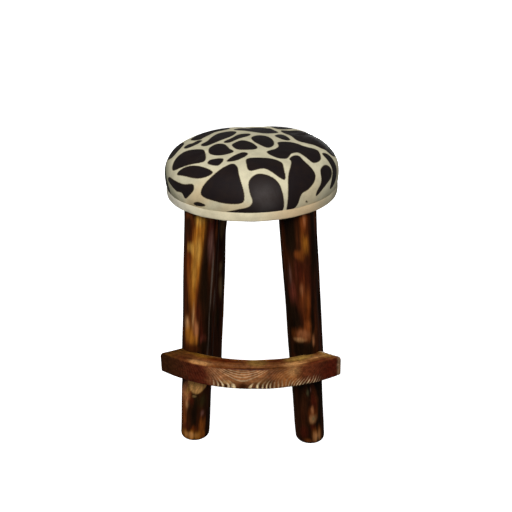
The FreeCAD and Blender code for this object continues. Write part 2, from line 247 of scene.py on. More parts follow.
# Widths in the log's pattern, in millimetres.
logPattern = {"growthLine": 1.818, "check": 1.25, "lick": 6.667, "endRing": 2.2, "lacquerWave": 16.667}


# Scorched pine log, debarked, torched and lacquered: amber sapwood in streaks between black and
# red-brown char, long grain, fine dark checks and a clear gloss with slight waves.
def scorchedLog():
    material, tree, shader = newMaterial("scorchedLacqueredPineLog", lacquer)
    stain = addNode(tree, "Attribute", {"attribute_name": "stain"})  # its alpha marks the sawn ends
    place = addNode(tree, "Attribute", {"attribute_name": "logPlace"})  # mm in the leg's own frame
    drawn = addNode(tree, "Mapping", {"Scale": (1, 1, 0.05)}, {"Vector": (place, "Vector")})
    grain = addNode(tree, "TexNoise", {"Scale": 1 / logPattern["growthLine"], "Detail": 5, "Roughness": 0.65},
                    {"Vector": drawn})
    tint = addNode(tree, "MapRange", {"ranges": (0.3, 0.7, 0.72, 1.28)}, {"Value": (grain, "Fac")})
    checks = addNode(tree, "TexNoise", {"Scale": 1 / logPattern["check"], "Detail": 2}, {"Vector": drawn})
    crack = addNode(tree, "MapRange", {"ranges": (0.33, 0.38, 0.65, 1)}, {"Value": (checks, "Fac")})
    flame = addNode(tree, "Mapping", {"Scale": (1, 1, 0.09)}, {"Vector": (place, "Vector")})
    blotch = addNode(tree, "TexNoise", {"Scale": 1 / logPattern["lick"], "Detail": 5, "Roughness": 0.7},
                     {"Vector": flame})  # licks of the flame
    lick = addNode(tree, "MapRange", {"ranges": (0.34, 0.66, 0.52, 1.28)}, {"Value": (blotch, "Fac")})
    burnt = addNode(tree, "Math", {"operation": "MULTIPLY"}, {0: tint, 1: lick})
    cracked = addNode(tree, "Math", {"operation": "MULTIPLY"}, {0: burnt, 1: crack})
    section = addNode(tree, "VectorMath", {"operation": "MULTIPLY", 1: (1, 1, 0)}, {0: (place, "Vector")})
    rings = addNode(tree, "TexWave", {"wave_type": "RINGS", "rings_direction": "Z", "wave_profile": "SAW",
                                      "Scale": waveRepeat / logPattern["endRing"], "Distortion": 1.5,
                                      "Detail Scale": 0.08}, {"Vector": section})  # shown on the sawn ends
    ringTint = addNode(tree, "MapRange", {"ranges": (0, 1, 1.25, 0.6)}, {"Value": (rings, "Fac")})
    pattern = addNode(tree, "Mix", {"data_type": "FLOAT"}, {0: (stain, "Alpha"), 2: cracked, 3: ringTint})
    colour = addNode(tree, "VectorMath", {"operation": "SCALE"}, {0: (stain, "Color"), "Scale": pattern})
    rough = addNode(tree, "MapRange", {"ranges": (0, 1, 0.22, 0.5)}, {"Value": (grain, "Fac")})
    flow = addNode(tree, "TexNoise", {"Scale": 1 / logPattern["lacquerWave"], "Detail": 2},
                   {"Vector": (place, "Vector")})
    soft = addNode(tree, "Bump", {"Strength": 0.35, "Distance": 1.2 * mm}, {"Height": (flow, "Fac")})
    fine = addNode(tree, "Bump", {"Strength": 0.35, "Distance": 0.35 * mm},
                   {"Height": cracked, "Normal": soft})
    wire(tree, shader, {"Base Color": colour, "Roughness": rough, "Normal": fine})
    return material


# Legs: tapered logs that lean inwards, with flame-painted sides. Angles run from the front, to the right.
logs = {"footSpacing": 256, "topSpacing": 188, "footRadius": 31.5, "topRadius": 36.25, "height": 530,
        "footRound": 8, "step": 2.3, "patternShift": 700,
        "lobe": {"swell": 0.45, "fineShare": 0.4, "foot": (0, 40), "top": (500, 528)},
        "knot": {"wide": 9, "tall": 15, "rise": 1.6, "dip": 1.1, "dipShare": 1 / 2.6},
        "tenon": {"radius": 19, "top": 558, "sunk": 2, "kerfLength": 22, "kerfTop": 5, "kerfLow": 1.5,
                  "seam": 0.02},
        "saddle": {"centre": 117.27, "radius": 271, "top": 219.1, "flat": 138.9, "slope": 9 / 21,
                   "edgeRows": (-0.6, 0, 0.05, 0.6)},
        "screws": {"levels": (183.5, 205.5), "head": 5.1, "edge": 0.4, "sink": 2, "around": 7,
                   "aroundTurn": 12.155, "samples": 33},
        "moon": {"leg": "front_left_leg", "angle": -2, "low": 119, "bend": 0.0075, "high": 151, "cover": 0.92,
                 "softLow": 3, "softHigh": 4, "fray": 0.6, "mottle": 0.1},
        "paint": {"umber": 0.4, "drift": 0.35, "fray": 0.16, "fineFray": 0.09, "bareFoot": 0.7}}
logTones = {"char": "#1a0f06", "soot": "#22130a", "umber": "#3e1c0b", "oxblood": "#48180c",
            "maroon": "#57271c", "rust": "#642c0c", "chestnut": "#7e4215", "russet": "#86441c",
            "amber": "#a4661f", "honey": "#c8923f", "rose": "#a86c44", "pale": "#c48f5c", "mauve": "#755046",
            "reflectionGrey": "#62564c", "olive": "#2c230f", "moss": "#565037", "bare": "#c8a266", "fresh": "#b99560",
            "spared": "#ce9858", "drab": "#7d6444"}
# Strokes of the torch, and among them painted highlights: angle, level, half width in degrees, half height,
# tone, cover, lean. The thin grey strokes are painted reflections of the lamps in the lacquer; the mauve ones
# are the char's pinkish tone and in part painted highlight.
logStrokes = {
    "front_left_leg": [
        (-50, 300, 22, 330, "umber", 0.8), (-20, 420, 34, 150, "rust", 0.9, 4),
        (-22, 375, 26, 85, "chestnut", 0.8, 2), (-24, 270, 32, 48, "chestnut", 0.9),
        (-38, 500, 16, 36, "soot", 0.85), (4, 485, 19, 70, "amber", 0.95, 8),
        (-10, 440, 20, 75, "amber", 0.85, 8), (-18, 385, 13, 65, "amber", 0.7, 6),
        (-16, 330, 8, 60, "amber", 0.5, 2), (0, 518, 18, 20, "honey", 0.95, 4),
        (-4, 450, 14, 30, "honey", 0.8, 6), (-14, 400, 8, 34, "honey", 0.4, 6),
        (-28, 454, 15, 15, "honey", 0.75), (-36, 428, 16, 14, "rust", 0.6),
        (-36, 318, 18, 18, "umber", 0.6), (-40, 284, 13, 16, "pale", 0.75), (-14, 300, 5, 32, "pale", 0.8),
        (-30, 262, 20, 20, "amber", 0.75), (-3, 272, 10, 26, "rose", 0.8), (-8, 250, 16, 14, "amber", 0.6),
        (2, 315, 8, 26, "oxblood", 0.8), (16, 270, 11, 45, "oxblood", 0.8),
        (22, 250, 14, 12, "maroon", 0.8), (-14, 228, 50, 9, "umber", 0.7), (34, 232, 26, 14, "char", 0.95),
        (42, 475, 24, 52, "oxblood", 0.9), (42, 455, 13, 40, "mauve", 0.95, 3),
        (46, 505, 16, 18, "maroon", 0.8), (36, 522, 14, 12, "rose", 0.6), (-40, 524, 14, 12, "russet", 0.5),
        (64, 490, 9, 30, "russet", 0.5), (24, 380, 12, 130, "char", 0.9), (12, 385, 9, 70, "char", 0.85, 9),
        # the thin grey streaks at 49 and 70 degrees are painted reflections of the lamps
        (46, 330, 18, 80, "char", 0.5), (49, 330, 3.5, 130, "reflectionGrey", 0.9, 5), (66, 290, 8, 60, "umber", 0.7),
        (70, 330, 5, 26, "reflectionGrey", 0.6), (-58, 120, 16, 28, "rose", 0.65), (-28, 112, 14, 16, "russet", 0.75),
        (-40, 118, 9, 16, "honey", 0.5), (-38, 100, 15, 24, "rose", 0.75), (-34, 90, 8, 8, "pale", 0.6),
        (-1, 113, 10, 2.5, "bare", 0.5), (-12, 100, 12, 10, "oxblood", 0.8),
        (28, 102, 30, 22, "olive", 0.9), (-50, 62, 15, 46, "russet", 0.85), (-2, 68, 24, 36, "char", 0.95),
        (36, 62, 14, 26, "umber", 0.9), (34, 70, 8, 9, "mauve", 0.6), (34, 36, 15, 24, "chestnut", 0.9),
        (-34, 32, 16, 12, "oxblood", 0.7), (2, 30, 14, 10, "rust", 0.8), (-8, 14, 50, 13, "amber", 0.9),
        (-14, 16, 30, 8, "pale", 0.4), (38, 14, 14, 9, "chestnut", 0.8)],
    "front_right_leg": [
        (8, 370, 44, 70, "oxblood", 0.75), (24, 470, 25, 60, "umber", 0.8),
        (-26, 482, 24, 60, "char", 0.95), (28, 510, 15, 44, "rust", 0.9, 2),
        (27, 512, 9, 34, "russet", 0.85, 2), (29, 515, 5, 22, "rose", 0.6),
        (26, 468, 15, 28, "chestnut", 0.9), (27, 466, 11, 22, "amber", 0.85),
        (-6, 443, 9, 9, "russet", 0.5), (8, 443, 14, 13, "chestnut", 0.6), (-32, 400, 9, 34, "mauve", 0.6),
        (-10, 400, 4, 34, "maroon", 0.7), (-25, 360, 18, 30, "maroon", 0.8),
        (13, 352, 23, 38, "russet", 0.55), (6, 366, 9, 16, "rose", 0.45),
        (20, 335, 12, 24, "chestnut", 0.4), (20, 310, 13, 26, "rust", 0.85),
        (22, 285, 14, 18, "russet", 0.75), (-28, 302, 26, 38, "char", 0.95),
        (-4, 264, 38, 16, "russet", 0.6), (0, 266, 24, 10, "rose", 0.4), (-14, 253, 22, 6, "pale", 0.6),
        (-16, 234, 58, 15, "char", 1), (-16, 224, 58, 12, "char", 1), (38, 250, 5, 15, "rose", 0.65),
        (44, 480, 8, 50, "umber", 0.7), (24, 104, 16, 24, "oxblood", 0.9), (6, 126, 9, 9, "moss", 0.8),
        (21, 130, 4, 6, "mauve", 0.8), (18, 74, 18, 24, "rust", 0.8), (18, 86, 7, 14, "rose", 0.8),
        (19, 64, 13, 13, "pale", 0.55), (20, 65, 6, 7, "moss", 0.8), (18, 43, 12, 9, "oxblood", 0.8),
        (32, 24, 22, 20, "chestnut", 0.9), (32, 20, 18, 16, "pale", 0.45),
        (-22, 30, 18, 16, "oxblood", 0.7), (-4, 10, 16, 6, "chestnut", 0.6)],
    "rear_left_leg": [
        (10, 260, 60, 260, "umber", 0.6), (12, 415, 30, 26, "oxblood", 0.95),
        (10, 418, 16, 16, "maroon", 0.7), (46, 412, 15, 28, "drab", 0.85), (54, 312, 12, 16, "drab", 0.8),
        # the thin grey streaks at 15 and 12 degrees are painted reflections of the lamps
        (6, 360, 15, 38, "maroon", 0.9), (6, 356, 8, 26, "mauve", 0.8), (15, 270, 5, 60, "reflectionGrey", 0.9, -2),
        (12, 150, 4, 90, "reflectionGrey", 0.6), (54, 262, 10, 34, "drab", 0.8), (40, 180, 12, 30, "olive", 0.6),
        (-20, 130, 16, 40, "oxblood", 0.6)],
    "rear_right_leg": []}
# Strokes by chance: the ranges they are drawn from, and for each leg the angles and how many.
chance = {"level": (10, 520), "wide": (4, 17), "tall": (30, 130), "lean": (-5, 5), "cover": (0.4, 0.8),
          "tones": ("chestnut", "amber", "russet", "oxblood", "rust", "chestnut", "honey", "char", "rose"),
          "sides": {"front_left_leg": (95, 270, 44), "front_right_leg": (95, 270, 44),
                    "rear_left_leg": (75, 330, 64), "rear_right_leg": (-180, 180, 90)}}
logKnots = {"front_left_leg": [(150, 330), (-120, 120)], "front_right_leg": [(20, 72), (170, 400)],
            "rear_left_leg": [(-150, 260), (100, 420)], "rear_right_leg": [(130, 150), (-60, 330)]}
corners = {"front_left_leg": (-1, -1), "front_right_leg": (1, -1),
           "rear_left_leg": (-1, 1), "rear_right_leg": (1, 1)}


def logAxis(spec, corner, level):
    # the leg's axis at each level, as x and y
    half = spec["footSpacing"] / 2 + (spec["topSpacing"] - spec["footSpacing"]) / 2 * level / spec["height"]
    return corner[0] * half, seatY + corner[1] * half


def logTaper(spec, level):
    # a straight cone from the foot's radius to the top's
    return spec["footRadius"] + (spec["topRadius"] - spec["footRadius"]) * level / spec["height"]


def screwPlace(spec, corner, level):
    # the angle of the screw's head round the leg, and the unit vector along the screw
    x, y = logAxis(spec, corner, level)
    way = np.array([x, y - spec["saddle"]["centre"]])
    way = way / np.hypot(*way)
    return np.degrees(np.arctan2(-way[0], way[1])), way


def logGrid(spec, corner):
    # angles in degrees and levels, closer together at a front leg's screw holes and saddle edge
    angle = np.arange(0, 360, np.degrees(spec["step"] / spec["footRadius"])) - 180
    level = np.arange(spec["footRound"], spec["height"] - 1, spec["step"])
    if corner[1] < 0:
        heads, saddle = spec["screws"], spec["saddle"]
        near = np.linspace(-1, 1, heads["samples"])
        back = screwPlace(spec, corner, np.mean(heads["levels"]))[0]
        angle = np.append(angle, wrapped(back + near * heads["aroundTurn"], 360))
        level = np.concatenate([level, *(height + near * heads["around"] for height in heads["levels"]),
                                saddle["top"] + np.array(saddle["edgeRows"])])
    return np.unique(np.round(angle, 3)), np.unique(np.round(level, 3))


def logRadius(name, spec, seed, turn, height):
    # taper + slow lobes that die out at both ends + knots, each a mound with a dip in its middle
    lobe, knot = spec["lobe"], spec["knot"]
    taper = logTaper(spec, height)
    slow = waves(turn, height, seed, turns=4, length=260)
    fine = waves(turn, height, seed + 1, turns=14, length=400)
    held = fade(*lobe["foot"], height) * (1 - fade(*lobe["top"], height))
    radius = taper + held * lobe["swell"] * (slow + lobe["fineShare"] * fine)
    for angle, level in logKnots[name]:
        side = np.radians(wrapped(np.degrees(turn) - angle, 360)) * taper
        far = np.hypot(side / knot["wide"], (height - level) / knot["tall"])
        radius = radius + knot["rise"] * hump(0, 1, far) - knot["dip"] * hump(0, knot["dipShare"], far)
    return radius


def cutLog(spec, corner, turn, height, radius):
    # the radius ends at the footrest's inner arc or on the ramp below it, and on the floor of a screw hole
    saddle, heads = spec["saddle"], spec["screws"]
    x, y = logAxis(spec, corner, height)
    y = y - saddle["centre"]
    limit = saddle["radius"] + np.maximum(0, saddle["flat"] - height) * saddle["slope"]
    limit = np.where(height > saddle["top"], np.inf, limit)
    ahead = x * np.sin(turn) - y * np.cos(turn)
    radius = np.minimum(radius, np.sqrt(ahead ** 2 - x ** 2 - y ** 2 + limit ** 2) - ahead)
    taper = logTaper(spec, height)
    for level in heads["levels"]:
        toward = np.radians(np.degrees(turn) - screwPlace(spec, corner, level)[0])
        apart = np.hypot(taper * np.sin(toward), height - level)
        inside = (np.cos(toward) > 0) * (1 - fade(heads["head"], heads["head"] + heads["edge"], apart))
        floor = (taper - heads["sink"]) / np.maximum(np.cos(toward), 0.5)  # flat, and bounded beside the hole
        radius = radius + inside * (np.minimum(radius, floor) - radius)
    return radius


def chanceStroke(pick, angles):
    # one stroke by chance: angle, level, half sizes, lean, tone and cover are drawn in this order
    limits = [angles] + [chance[key] for key in ("level", "wide", "tall", "lean")]
    *place, lean = (pick.uniform(*pair) for pair in limits)
    tone = chance["tones"][pick.integers(len(chance["tones"]))]
    return (*place, tone, pick.uniform(*chance["cover"]), lean)


def flamePaint(name, spec, seed, turn, height):
    # char with umber drifts, strokes by chance on the sides away from view, then the placed strokes
    paint, moon, degrees = spec["paint"], spec["moon"], np.degrees(turn)
    rough = paint["fray"] * waves(turn, height, seed + 2, turns=16, length=160)
    rough = rough + paint["fineFray"] * waves(turn, height, seed + 3, turns=40, length=220)
    drift = waves(turn, height, seed + 4, turns=9, length=240)
    mix = np.clip(paint["umber"] + paint["drift"] * drift, 0, 1)[..., None]
    stain = linear(logTones["char"]) * (1 - mix) + linear(logTones["umber"]) * mix
    pick = np.random.default_rng(seed + 5)
    *angles, count = chance["sides"][name]
    strokes = [chanceStroke(pick, angles) for _ in range(count)]
    brush(stain, strokes + logStrokes[name], logTones, degrees, height, rough, 360)
    if name == moon["leg"]:  # the scorch stops at a pale half-moon under the footrest
        above = height - moon["low"] - moon["bend"] * (degrees - moon["angle"]) ** 2
        spared = moon["cover"] * fade(-moon["softLow"], moon["softLow"], above + moon["fray"] * rough)
        spared = spared * (1 - fade(0, moon["softHigh"], height - moon["high"]))
        spared = spared * (1 - moon["mottle"] * waves(turn, height, 19, turns=12, length=60))
        stain += np.clip(spared, 0, 1)[..., None] * (linear(logTones["spared"]) - stain)
    return stain


def tenonCheeks(spec, corner):
    # two half rounds on the leg's axis, parted by the wedge's kerf, which opens upwards
    tenon = spec["tenon"]
    kerfFoot = tenon["top"] - tenon["kerfLength"]
    level = np.concatenate([np.linspace(spec["height"] - tenon["sunk"], kerfFoot, 4),
                            np.linspace(kerfFoot + 0.1, tenon["top"], 8)])[:, None]
    share = (level - kerfFoot) / tenon["kerfLength"]
    opening = tenon["kerfLow"] + (tenon["kerfTop"] - tenon["kerfLow"]) * share
    half = np.where(level > kerfFoot, opening / 2, tenon["seam"])
    bend = np.radians(np.linspace(-90, 90, 25))
    chord = np.linspace(0.9, -0.9, 7)
    across = np.hstack([np.maximum(tenon["radius"] * np.cos(bend), half), half + 0 * chord])
    deep = tenon["radius"] * np.append(np.sin(bend), chord) + 0 * across
    x, y = logAxis(spec, corner, level)
    cheeks = [np.stack([x + way * across, y + way * deep, level + 0 * across], -1) for way in (1, -1)]
    return cheeks, np.array([x.mean(), y.mean(), 0])


def makeLog(name, spec, material, seed):
    # rings from the foot's face over its quarter round to the top's face, then the tenon's cheeks
    corner = corners[name]
    angle, level = logGrid(spec, corner)
    curve = np.radians(np.linspace(0, 90, 7))[:-1]
    faceShare = np.array([0.25, 0.55, 0.85])  # rings that close an end face
    level = np.concatenate([[0] * 3, spec["footRound"] * (1 - np.cos(curve)), level, [spec["height"]] * 4])
    inset = np.zeros(len(level))
    inset[:3 + len(curve)] = spec["footRound"] * np.append(np.ones(3), 1 - np.sin(curve))
    share = np.ones(len(level))
    share[:3], share[-3:] = faceShare, faceShare[::-1]
    turn, height = np.meshgrid(np.radians(angle), level)
    radius = (logRadius(name, spec, seed, turn, height) - inset[:, None]) * share[:, None]
    if corner[1] < 0:
        radius = cutLog(spec, corner, turn, height, radius)
    x, y = logAxis(spec, corner, height)
    stain = flamePaint(name, spec, seed, turn, height)
    stain[:4] += spec["paint"]["bareFoot"] * (linear(logTones["bare"]) - stain[:4])
    stain[-3:] = linear(logTones["fresh"])
    sawn = np.zeros(height.shape)
    sawn[:4], sawn[-3:] = 1, 1
    shift = spec["patternShift"] * seed  # each leg shows another stretch of the grain
    local = np.stack([radius * np.sin(turn), radius * np.cos(turn), height + shift], -1)
    shells = [shell(np.stack([x + radius * np.sin(turn), y - radius * np.cos(turn), height], -1))]
    stains, places = [onShell(withAlpha(stain, sawn))], [onShell(local)]
    cheeks, middle = tenonCheeks(spec, corner)
    for cheek in cheeks:
        shells.append(shell(cheek))
        stains.append(onShell(withAlpha(painted(logTones["fresh"], cheek.shape[:2]), 0)))
        places.append(onShell(cheek - middle + [0, 0, shift]))
    piece = addPiece(name + "_log", shells, material,
                     {"stain": np.concatenate(stains), "logPlace": np.concatenate(places)})
    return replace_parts(piece, name)


logMaterial = scorchedLog()
for seed, name in enumerate(corners, start=11):
    makeLog(name, logs, logMaterial, seed)


# Footrest: one plank sawn to an arc. The rings run in nested curves on its face, pale where the torch and
# the brush spared the soft wood.
plank = {"centre": 117.27, "outer": 312, "inner": 271.1, "low": 170, "high": 219, "frontHalf": 193,
         "backHalf": 153, "ease": 4, "easeDrift": 0.5, "easeLeast": 0.3, "arris": 2.2,
         "wornArris": ((-105, 22), (93, 16)), "endRound": 14, "step": 2, "sidePoints": (20, 24), "fray": 0.12,
         "fineFray": 0.1, "grainTint": 0.16, "frontFade": (6, 30), "topFade": 1, "topLean": 0.35}
plankTones = {"scorch": "#3a1f0d", "coffee": "#42200f", "liver": "#4c1b0c", "burgundy": "#561f10",
              "wine": "#6a301c", "clay": "#8f5a38", "orange": "#aa6e42", "brick": "#6a321a",
              "maroon": "#541d0f", "cocoa": "#3c1c0a", "tan": "#9e6030", "straw": "#c08f58",
              "pale": "#f2d4a4", "worn": "#94785a", "gold": "#7e5618", "moss": "#9a7638", "burnt": "#4c1604",
              "toffee": "#754420", "edge": "#b08454", "arris": "#c08a54", "bronze": "#553410"}
# Strokes on the front: place along, level, half sizes, tone, cover.
frontStrokes = [
    (-190, 195, 50, 70, "scorch", 1), (-150, 195, 26, 50, "coffee", 0.8), (-118, 195, 40, 60, "liver", 0.9),
    (-90, 190, 26, 50, "burgundy", 0.85), (-62, 204, 18, 40, "clay", 0.7), (-6, 205, 70, 40, "orange", 0.9),
    (56, 200, 20, 20, "wine", 0.7), (82, 190, 40, 50, "tan", 0.9), (96, 208, 16, 14, "straw", 0.5),
    (128, 195, 28, 50, "brick", 0.85), (176, 195, 36, 60, "maroon", 0.95), (201, 190, 6, 70, "worn", 0.8),
    (-11, 178, 17, 13, "cocoa", 1), (-48, 177, 24, 11, "cocoa", 0.85), (26, 176, 28, 11, "cocoa", 0.75),
    (100, 173, 60, 6, "cocoa", 0.6), (-44, 185, 10, 5, "straw", 0.95), (-43, 186, 3, 2, "tan", 0.8),
    (-31, 176, 5, 7, "pale", 0.95), (4, 208, 14, 9, "clay", 0.8), (36, 188, 24, 10, "bronze", 0.5)]
# Strokes on the top: place along, depth from the front, half sizes, tone, cover. The arris strokes along the
# front edge (depth 7 and 10) and the edge stroke along the back edge are painted highlights.
topStrokes = [
    (0, 20, 260, 70, "toffee", 1), (-178, 20, 34, 50, "bronze", 0.85), (-150, 8, 26, 10, "burgundy", 0.5),
    (-118, 34, 46, 10, "gold", 0.85), (0, 13, 150, 7, "clay", 0.55), (-108, 7, 32, 7, "arris", 0.9),
    (-56, 28, 50, 10, "burnt", 0.95), (-45, 10, 40, 6, "clay", 0.6), (22, 29, 24, 15, "moss", 0.65),
    (66, 30, 32, 9, "burnt", 0.9), (96, 10, 34, 10, "arris", 0.95), (116, 31, 42, 16, "moss", 0.95),
    (150, 14, 24, 10, "toffee", 0.7), (156, 20, 26, 7, "arris", 0.6), (184, 26, 20, 24, "moss", 0.6),
    (150, 3, 46, 5, "burgundy", 0.8), (-14, 1, 75, 3, "burnt", 0.85), (0, 41, 400, 4, "edge", 0.5)]
# Growth rings on the front: bows that open upwards above a saddle point, and steep lines to both sides of
# it. The last three rows say where they show: middle, half width and cover; faint is their least cover.
growth = {"saddle": (-12, 174), "slope": 0.72, "bow": 23.6, "bowPower": 1.75, "wide": 15.2, "narrow": 6.8,
          "narrowFrom": 46, "bend": 5, "lean": 0.5, "leanFrom": (60, 110), "sway": 1.2, "into": 0.3,
          "heart": (0.4, 0.85), "most": 0.95, "teethHigh": (3, 19, 4), "uneven": 0.3,
          "faint": {"cover": 0.014, "left": (-185, -130), "right": (150, 185)},
          "bows": [(-10, 60, 0.36)],
          "steep": [(-62, 16, 0.12), (58, 42, 0.06)],
          "teeth": [(-46, 24, 0.95), (22, 24, 0.8), (66, 28, 0.3), (120, 32, 0.62)]}
# Widths in the plank's pattern, in millimetres.
plankPattern = {"scorchMark": 7.7, "fibre": 2.38}


# Scorched pine plank, sawn, torched, brushed and lacquered: red-brown with a fine fibre, and pale growth
# rings that stand a little proud.
def scorchedPlank():
    material, tree, shader = newMaterial("scorchedLacqueredPinePlank", lacquer)
    stain = addNode(tree, "Attribute", {"attribute_name": "stain"})  # its alpha says how much the rings show
    place = addNode(tree, "TexCoord", {})
    rings = addNode(tree, "Attribute", {"attribute_name": "rings"})  # growth rings counted from the heart
    turned = addNode(tree, "Math", {"operation": "MULTIPLY", 1: 2 * np.pi}, {0: (rings, "Fac")})
    wave = addNode(tree, "Math", {"operation": "COSINE"}, {0: turned})
    line = addNode(tree, "MapRange", {"ranges": (-0.1, 0.9, 0, 1)}, {"Value": wave})
    blotch = addNode(tree, "TexNoise", {"Scale": 1 / (plankPattern["scorchMark"] * mm), "Detail": 5,
                                        "Roughness": 0.7}, {"Vector": (place, "Object")})
    lick = addNode(tree, "MapRange", {"ranges": (0.34, 0.66, 0.55, 1.35)}, {"Value": (blotch, "Fac")})
    drawn = addNode(tree, "Mapping", {"Scale": (0.06, 1, 1)}, {"Vector": (place, "Object")})
    grain = addNode(tree, "TexNoise", {"Scale": 1 / (plankPattern["fibre"] * mm), "Detail": 4,
                                       "Roughness": 0.6}, {"Vector": drawn})
    fibre = addNode(tree, "MapRange", {"ranges": (0.3, 0.7, 0.75, 1.25)}, {"Value": (grain, "Fac")})
    shown = addNode(tree, "Math", {"operation": "MULTIPLY"}, {0: line, 1: (stain, "Alpha")})
    spared = addNode(tree, "Mix", {"data_type": "RGBA", 7: (*linear(plankTones["pale"]), 1)},
                     {0: shown, 6: (stain, "Color")})
    tint = addNode(tree, "Math", {"operation": "MULTIPLY"}, {0: fibre, 1: lick})
    colour = addNode(tree, "VectorMath", {"operation": "SCALE"}, {0: (spared, 2), "Scale": tint})
    rough = addNode(tree, "MapRange", {"ranges": (0, 1, 0.25, 0.5)}, {"Value": (grain, "Fac")})
    relief = addNode(tree, "Math", {"operation": "ADD"}, {0: fibre, 1: shown})
    bump = addNode(tree, "Bump", {"Strength": 0.4, "Distance": 0.4 * mm}, {"Height": relief})
    wire(tree, shader, {"Base Color": colour, "Roughness": rough, "Normal": bump})
    return material


def oblong(spec):
    # once round a rounded oblong from the front's upper corner: the sides that each point belongs to, as
    # -1..1 deep and high, and its way out from the middle of the corner's arc
    sides, arcs = [], []
    turns = np.array([(-1, 1), (1, 1), (1, -1), (-1, -1)])
    for quarter, (here, there) in enumerate(zip(turns, np.roll(turns, -1, 0))):
        angle = np.radians(np.linspace(0, 90, 7) + 90 * quarter)[:, None]
        run = here + (there - here) * np.linspace(0, 1, spec["sidePoints"][quarter % 2])[1:-1, None]
        sides += [here + 0 * angle, run]
        arcs += [np.hstack([-np.cos(angle), np.sin(angle)]), np.where(np.abs(run) == 1, run, 0)]
    return np.concatenate(sides).T[:, None], np.concatenate(arcs).T[:, None]


def plankSkin(spec):
    # the oblong carried along the arc, with slanted ends, eased edges and a worn upper arris; gives rings
    # of points, and for each point its place along the front, its level and its depth
    ends = np.arcsin([spec["frontHalf"] / spec["outer"], spec["backHalf"] / spec["inner"]])
    faceShare = np.array([0.15, 0.4, 0.7])  # rings that close an end face
    easing = spec["ease"] * (1 - np.sin(np.radians(np.linspace(90, 0, 6))))  # from the end face inwards
    straight = spec["frontHalf"] - spec["ease"]
    body = np.arange(-straight, straight + 1, spec["step"]) / spec["frontHalf"]
    away = np.concatenate([np.zeros(3), easing, 0 * body + spec["ease"], easing[::-1], np.zeros(3)])[:, None]
    sign = np.concatenate([-np.ones(9), body, np.ones(9)])[:, None]
    scale = np.concatenate([faceShare, np.ones(len(sign) - 6), faceShare[::-1]])[:, None]
    inset = spec["ease"] - np.sqrt(np.maximum(0, spec["ease"] ** 2 - (spec["ease"] - away) ** 2))
    (signDeep, signHigh), (arcDeep, arcHigh) = oblong(spec)
    along = sign * spec["frontHalf"]
    worn = sum(hump(middle, half, along) for middle, half in spec["wornArris"])
    ease = spec["ease"] + spec["easeDrift"] * waves(0, along, 3, turns=0, length=70)
    ease = ease + spec["arris"] * worn * ((signDeep < 0) & (signHigh > 0))
    ease = np.maximum(ease - inset, spec["easeLeast"])
    middle, halfDeep = (spec["outer"] + spec["inner"]) / 2, (spec["outer"] - spec["inner"]) / 2
    middleLevel, halfHigh = (spec["high"] + spec["low"]) / 2, (spec["high"] - spec["low"]) / 2
    deep = (signDeep * (halfDeep - inset - ease) + arcDeep * ease) * scale
    high = (signHigh * (halfHigh - inset - ease) + arcHigh * ease) * scale
    radius = middle - deep
    span = ends[1] + (ends[0] - ends[1]) * (radius - spec["inner"]) / (spec["outer"] - spec["inner"])
    corner = np.clip((high - halfHigh + spec["endRound"]) / spec["endRound"], 0, 1)
    span = span - (away + spec["endRound"] * (1 - np.sqrt(1 - corner ** 2))) / middle
    turn, level = sign * span, middleLevel + high
    rings = np.stack([radius * np.sin(turn), spec["centre"] - radius * np.cos(turn), level], -1)
    return rings, turn * spec["outer"], level, spec["outer"] - radius


def plankPaint(spec, along, level, depth):
    # strokes on the front and on the top over one base tone, blended where the faces meet; gives the
    # colours and the share of the front
    rough = spec["fray"] * waves(0, along, 5, turns=0, length=60)
    rough = rough + spec["fineFray"] * waves(level / 9, along, 6, turns=3, length=120)
    stain, front, top = (painted(plankTones["coffee"], along.shape) for _ in range(3))
    brush(front, frontStrokes, plankTones, along, level, rough)
    brush(top, topStrokes, plankTones, along, depth, rough)
    grain = 1 + spec["grainTint"] * waves(depth / 6, along, 8, turns=5, length=300)  # runs lengthwise
    top *= np.clip(grain, 0.5, 1.6)[..., None]
    upper = level - spec["high"] + spec["ease"] - spec["topLean"] * (spec["ease"] - depth).clip(0)
    topShare = fade(-spec["topFade"], spec["topFade"], upper)[..., None]
    frontShare = (1 - fade(*spec["frontFade"], depth))[..., None]
    stain += frontShare * (front - stain)
    stain += topShare * (top - stain)
    return stain, ((1 - topShare) * frontShare)[..., 0]


def stretches(along, table, power):
    # the sum of humps of given middle, half width and cover
    return sum(cover * hump(middle, half, along, power) for middle, half, cover in table)


def plankRings(spec, rings, along, level, depth):
    # hyperbolas about the saddle point, counted outwards by a power of their distance; gives count and show
    uphill = (level - rings["saddle"][1] + rings["into"] * depth) / rings["slope"]
    side = along - rings["saddle"][0] + rings["sway"] * waves(along / 30, level, 7, turns=3, length=40)
    side = side - rings["lean"] * fade(*rings["leanFrom"], along) * (level - spec["low"])
    square = side ** 2 - uphill ** 2
    far = np.sqrt(np.abs(square))
    extra = np.logaddexp(0, (far - rings["narrowFrom"]) / rings["bend"]) * rings["bend"]
    steep = far / rings["wide"] + extra * (1 / rings["narrow"] - 1 / rings["wide"])
    count = np.where(square > 0, steep, (far / rings["bow"]) ** rings["bowPower"])
    uneven = 1 + rings["uneven"] * waves(0, along, 9, turns=0, length=12)
    solid, gone, ragged = rings["teethHigh"]
    teeth = (1 - fade(solid, gone + ragged * uneven, level - spec["low"])) * uneven
    faint = rings["faint"]
    show = faint["cover"] * fade(*faint["left"], along) * (1 - fade(*faint["right"], along))
    show = show + (square < 0) * stretches(along, rings["bows"], 4)
    show = show + (square > 0) * stretches(along, rings["steep"], 4)
    show = show + teeth * stretches(along, rings["teeth"], 6)
    return count, np.clip(show, 0, rings["most"]) * fade(*rings["heart"], count)


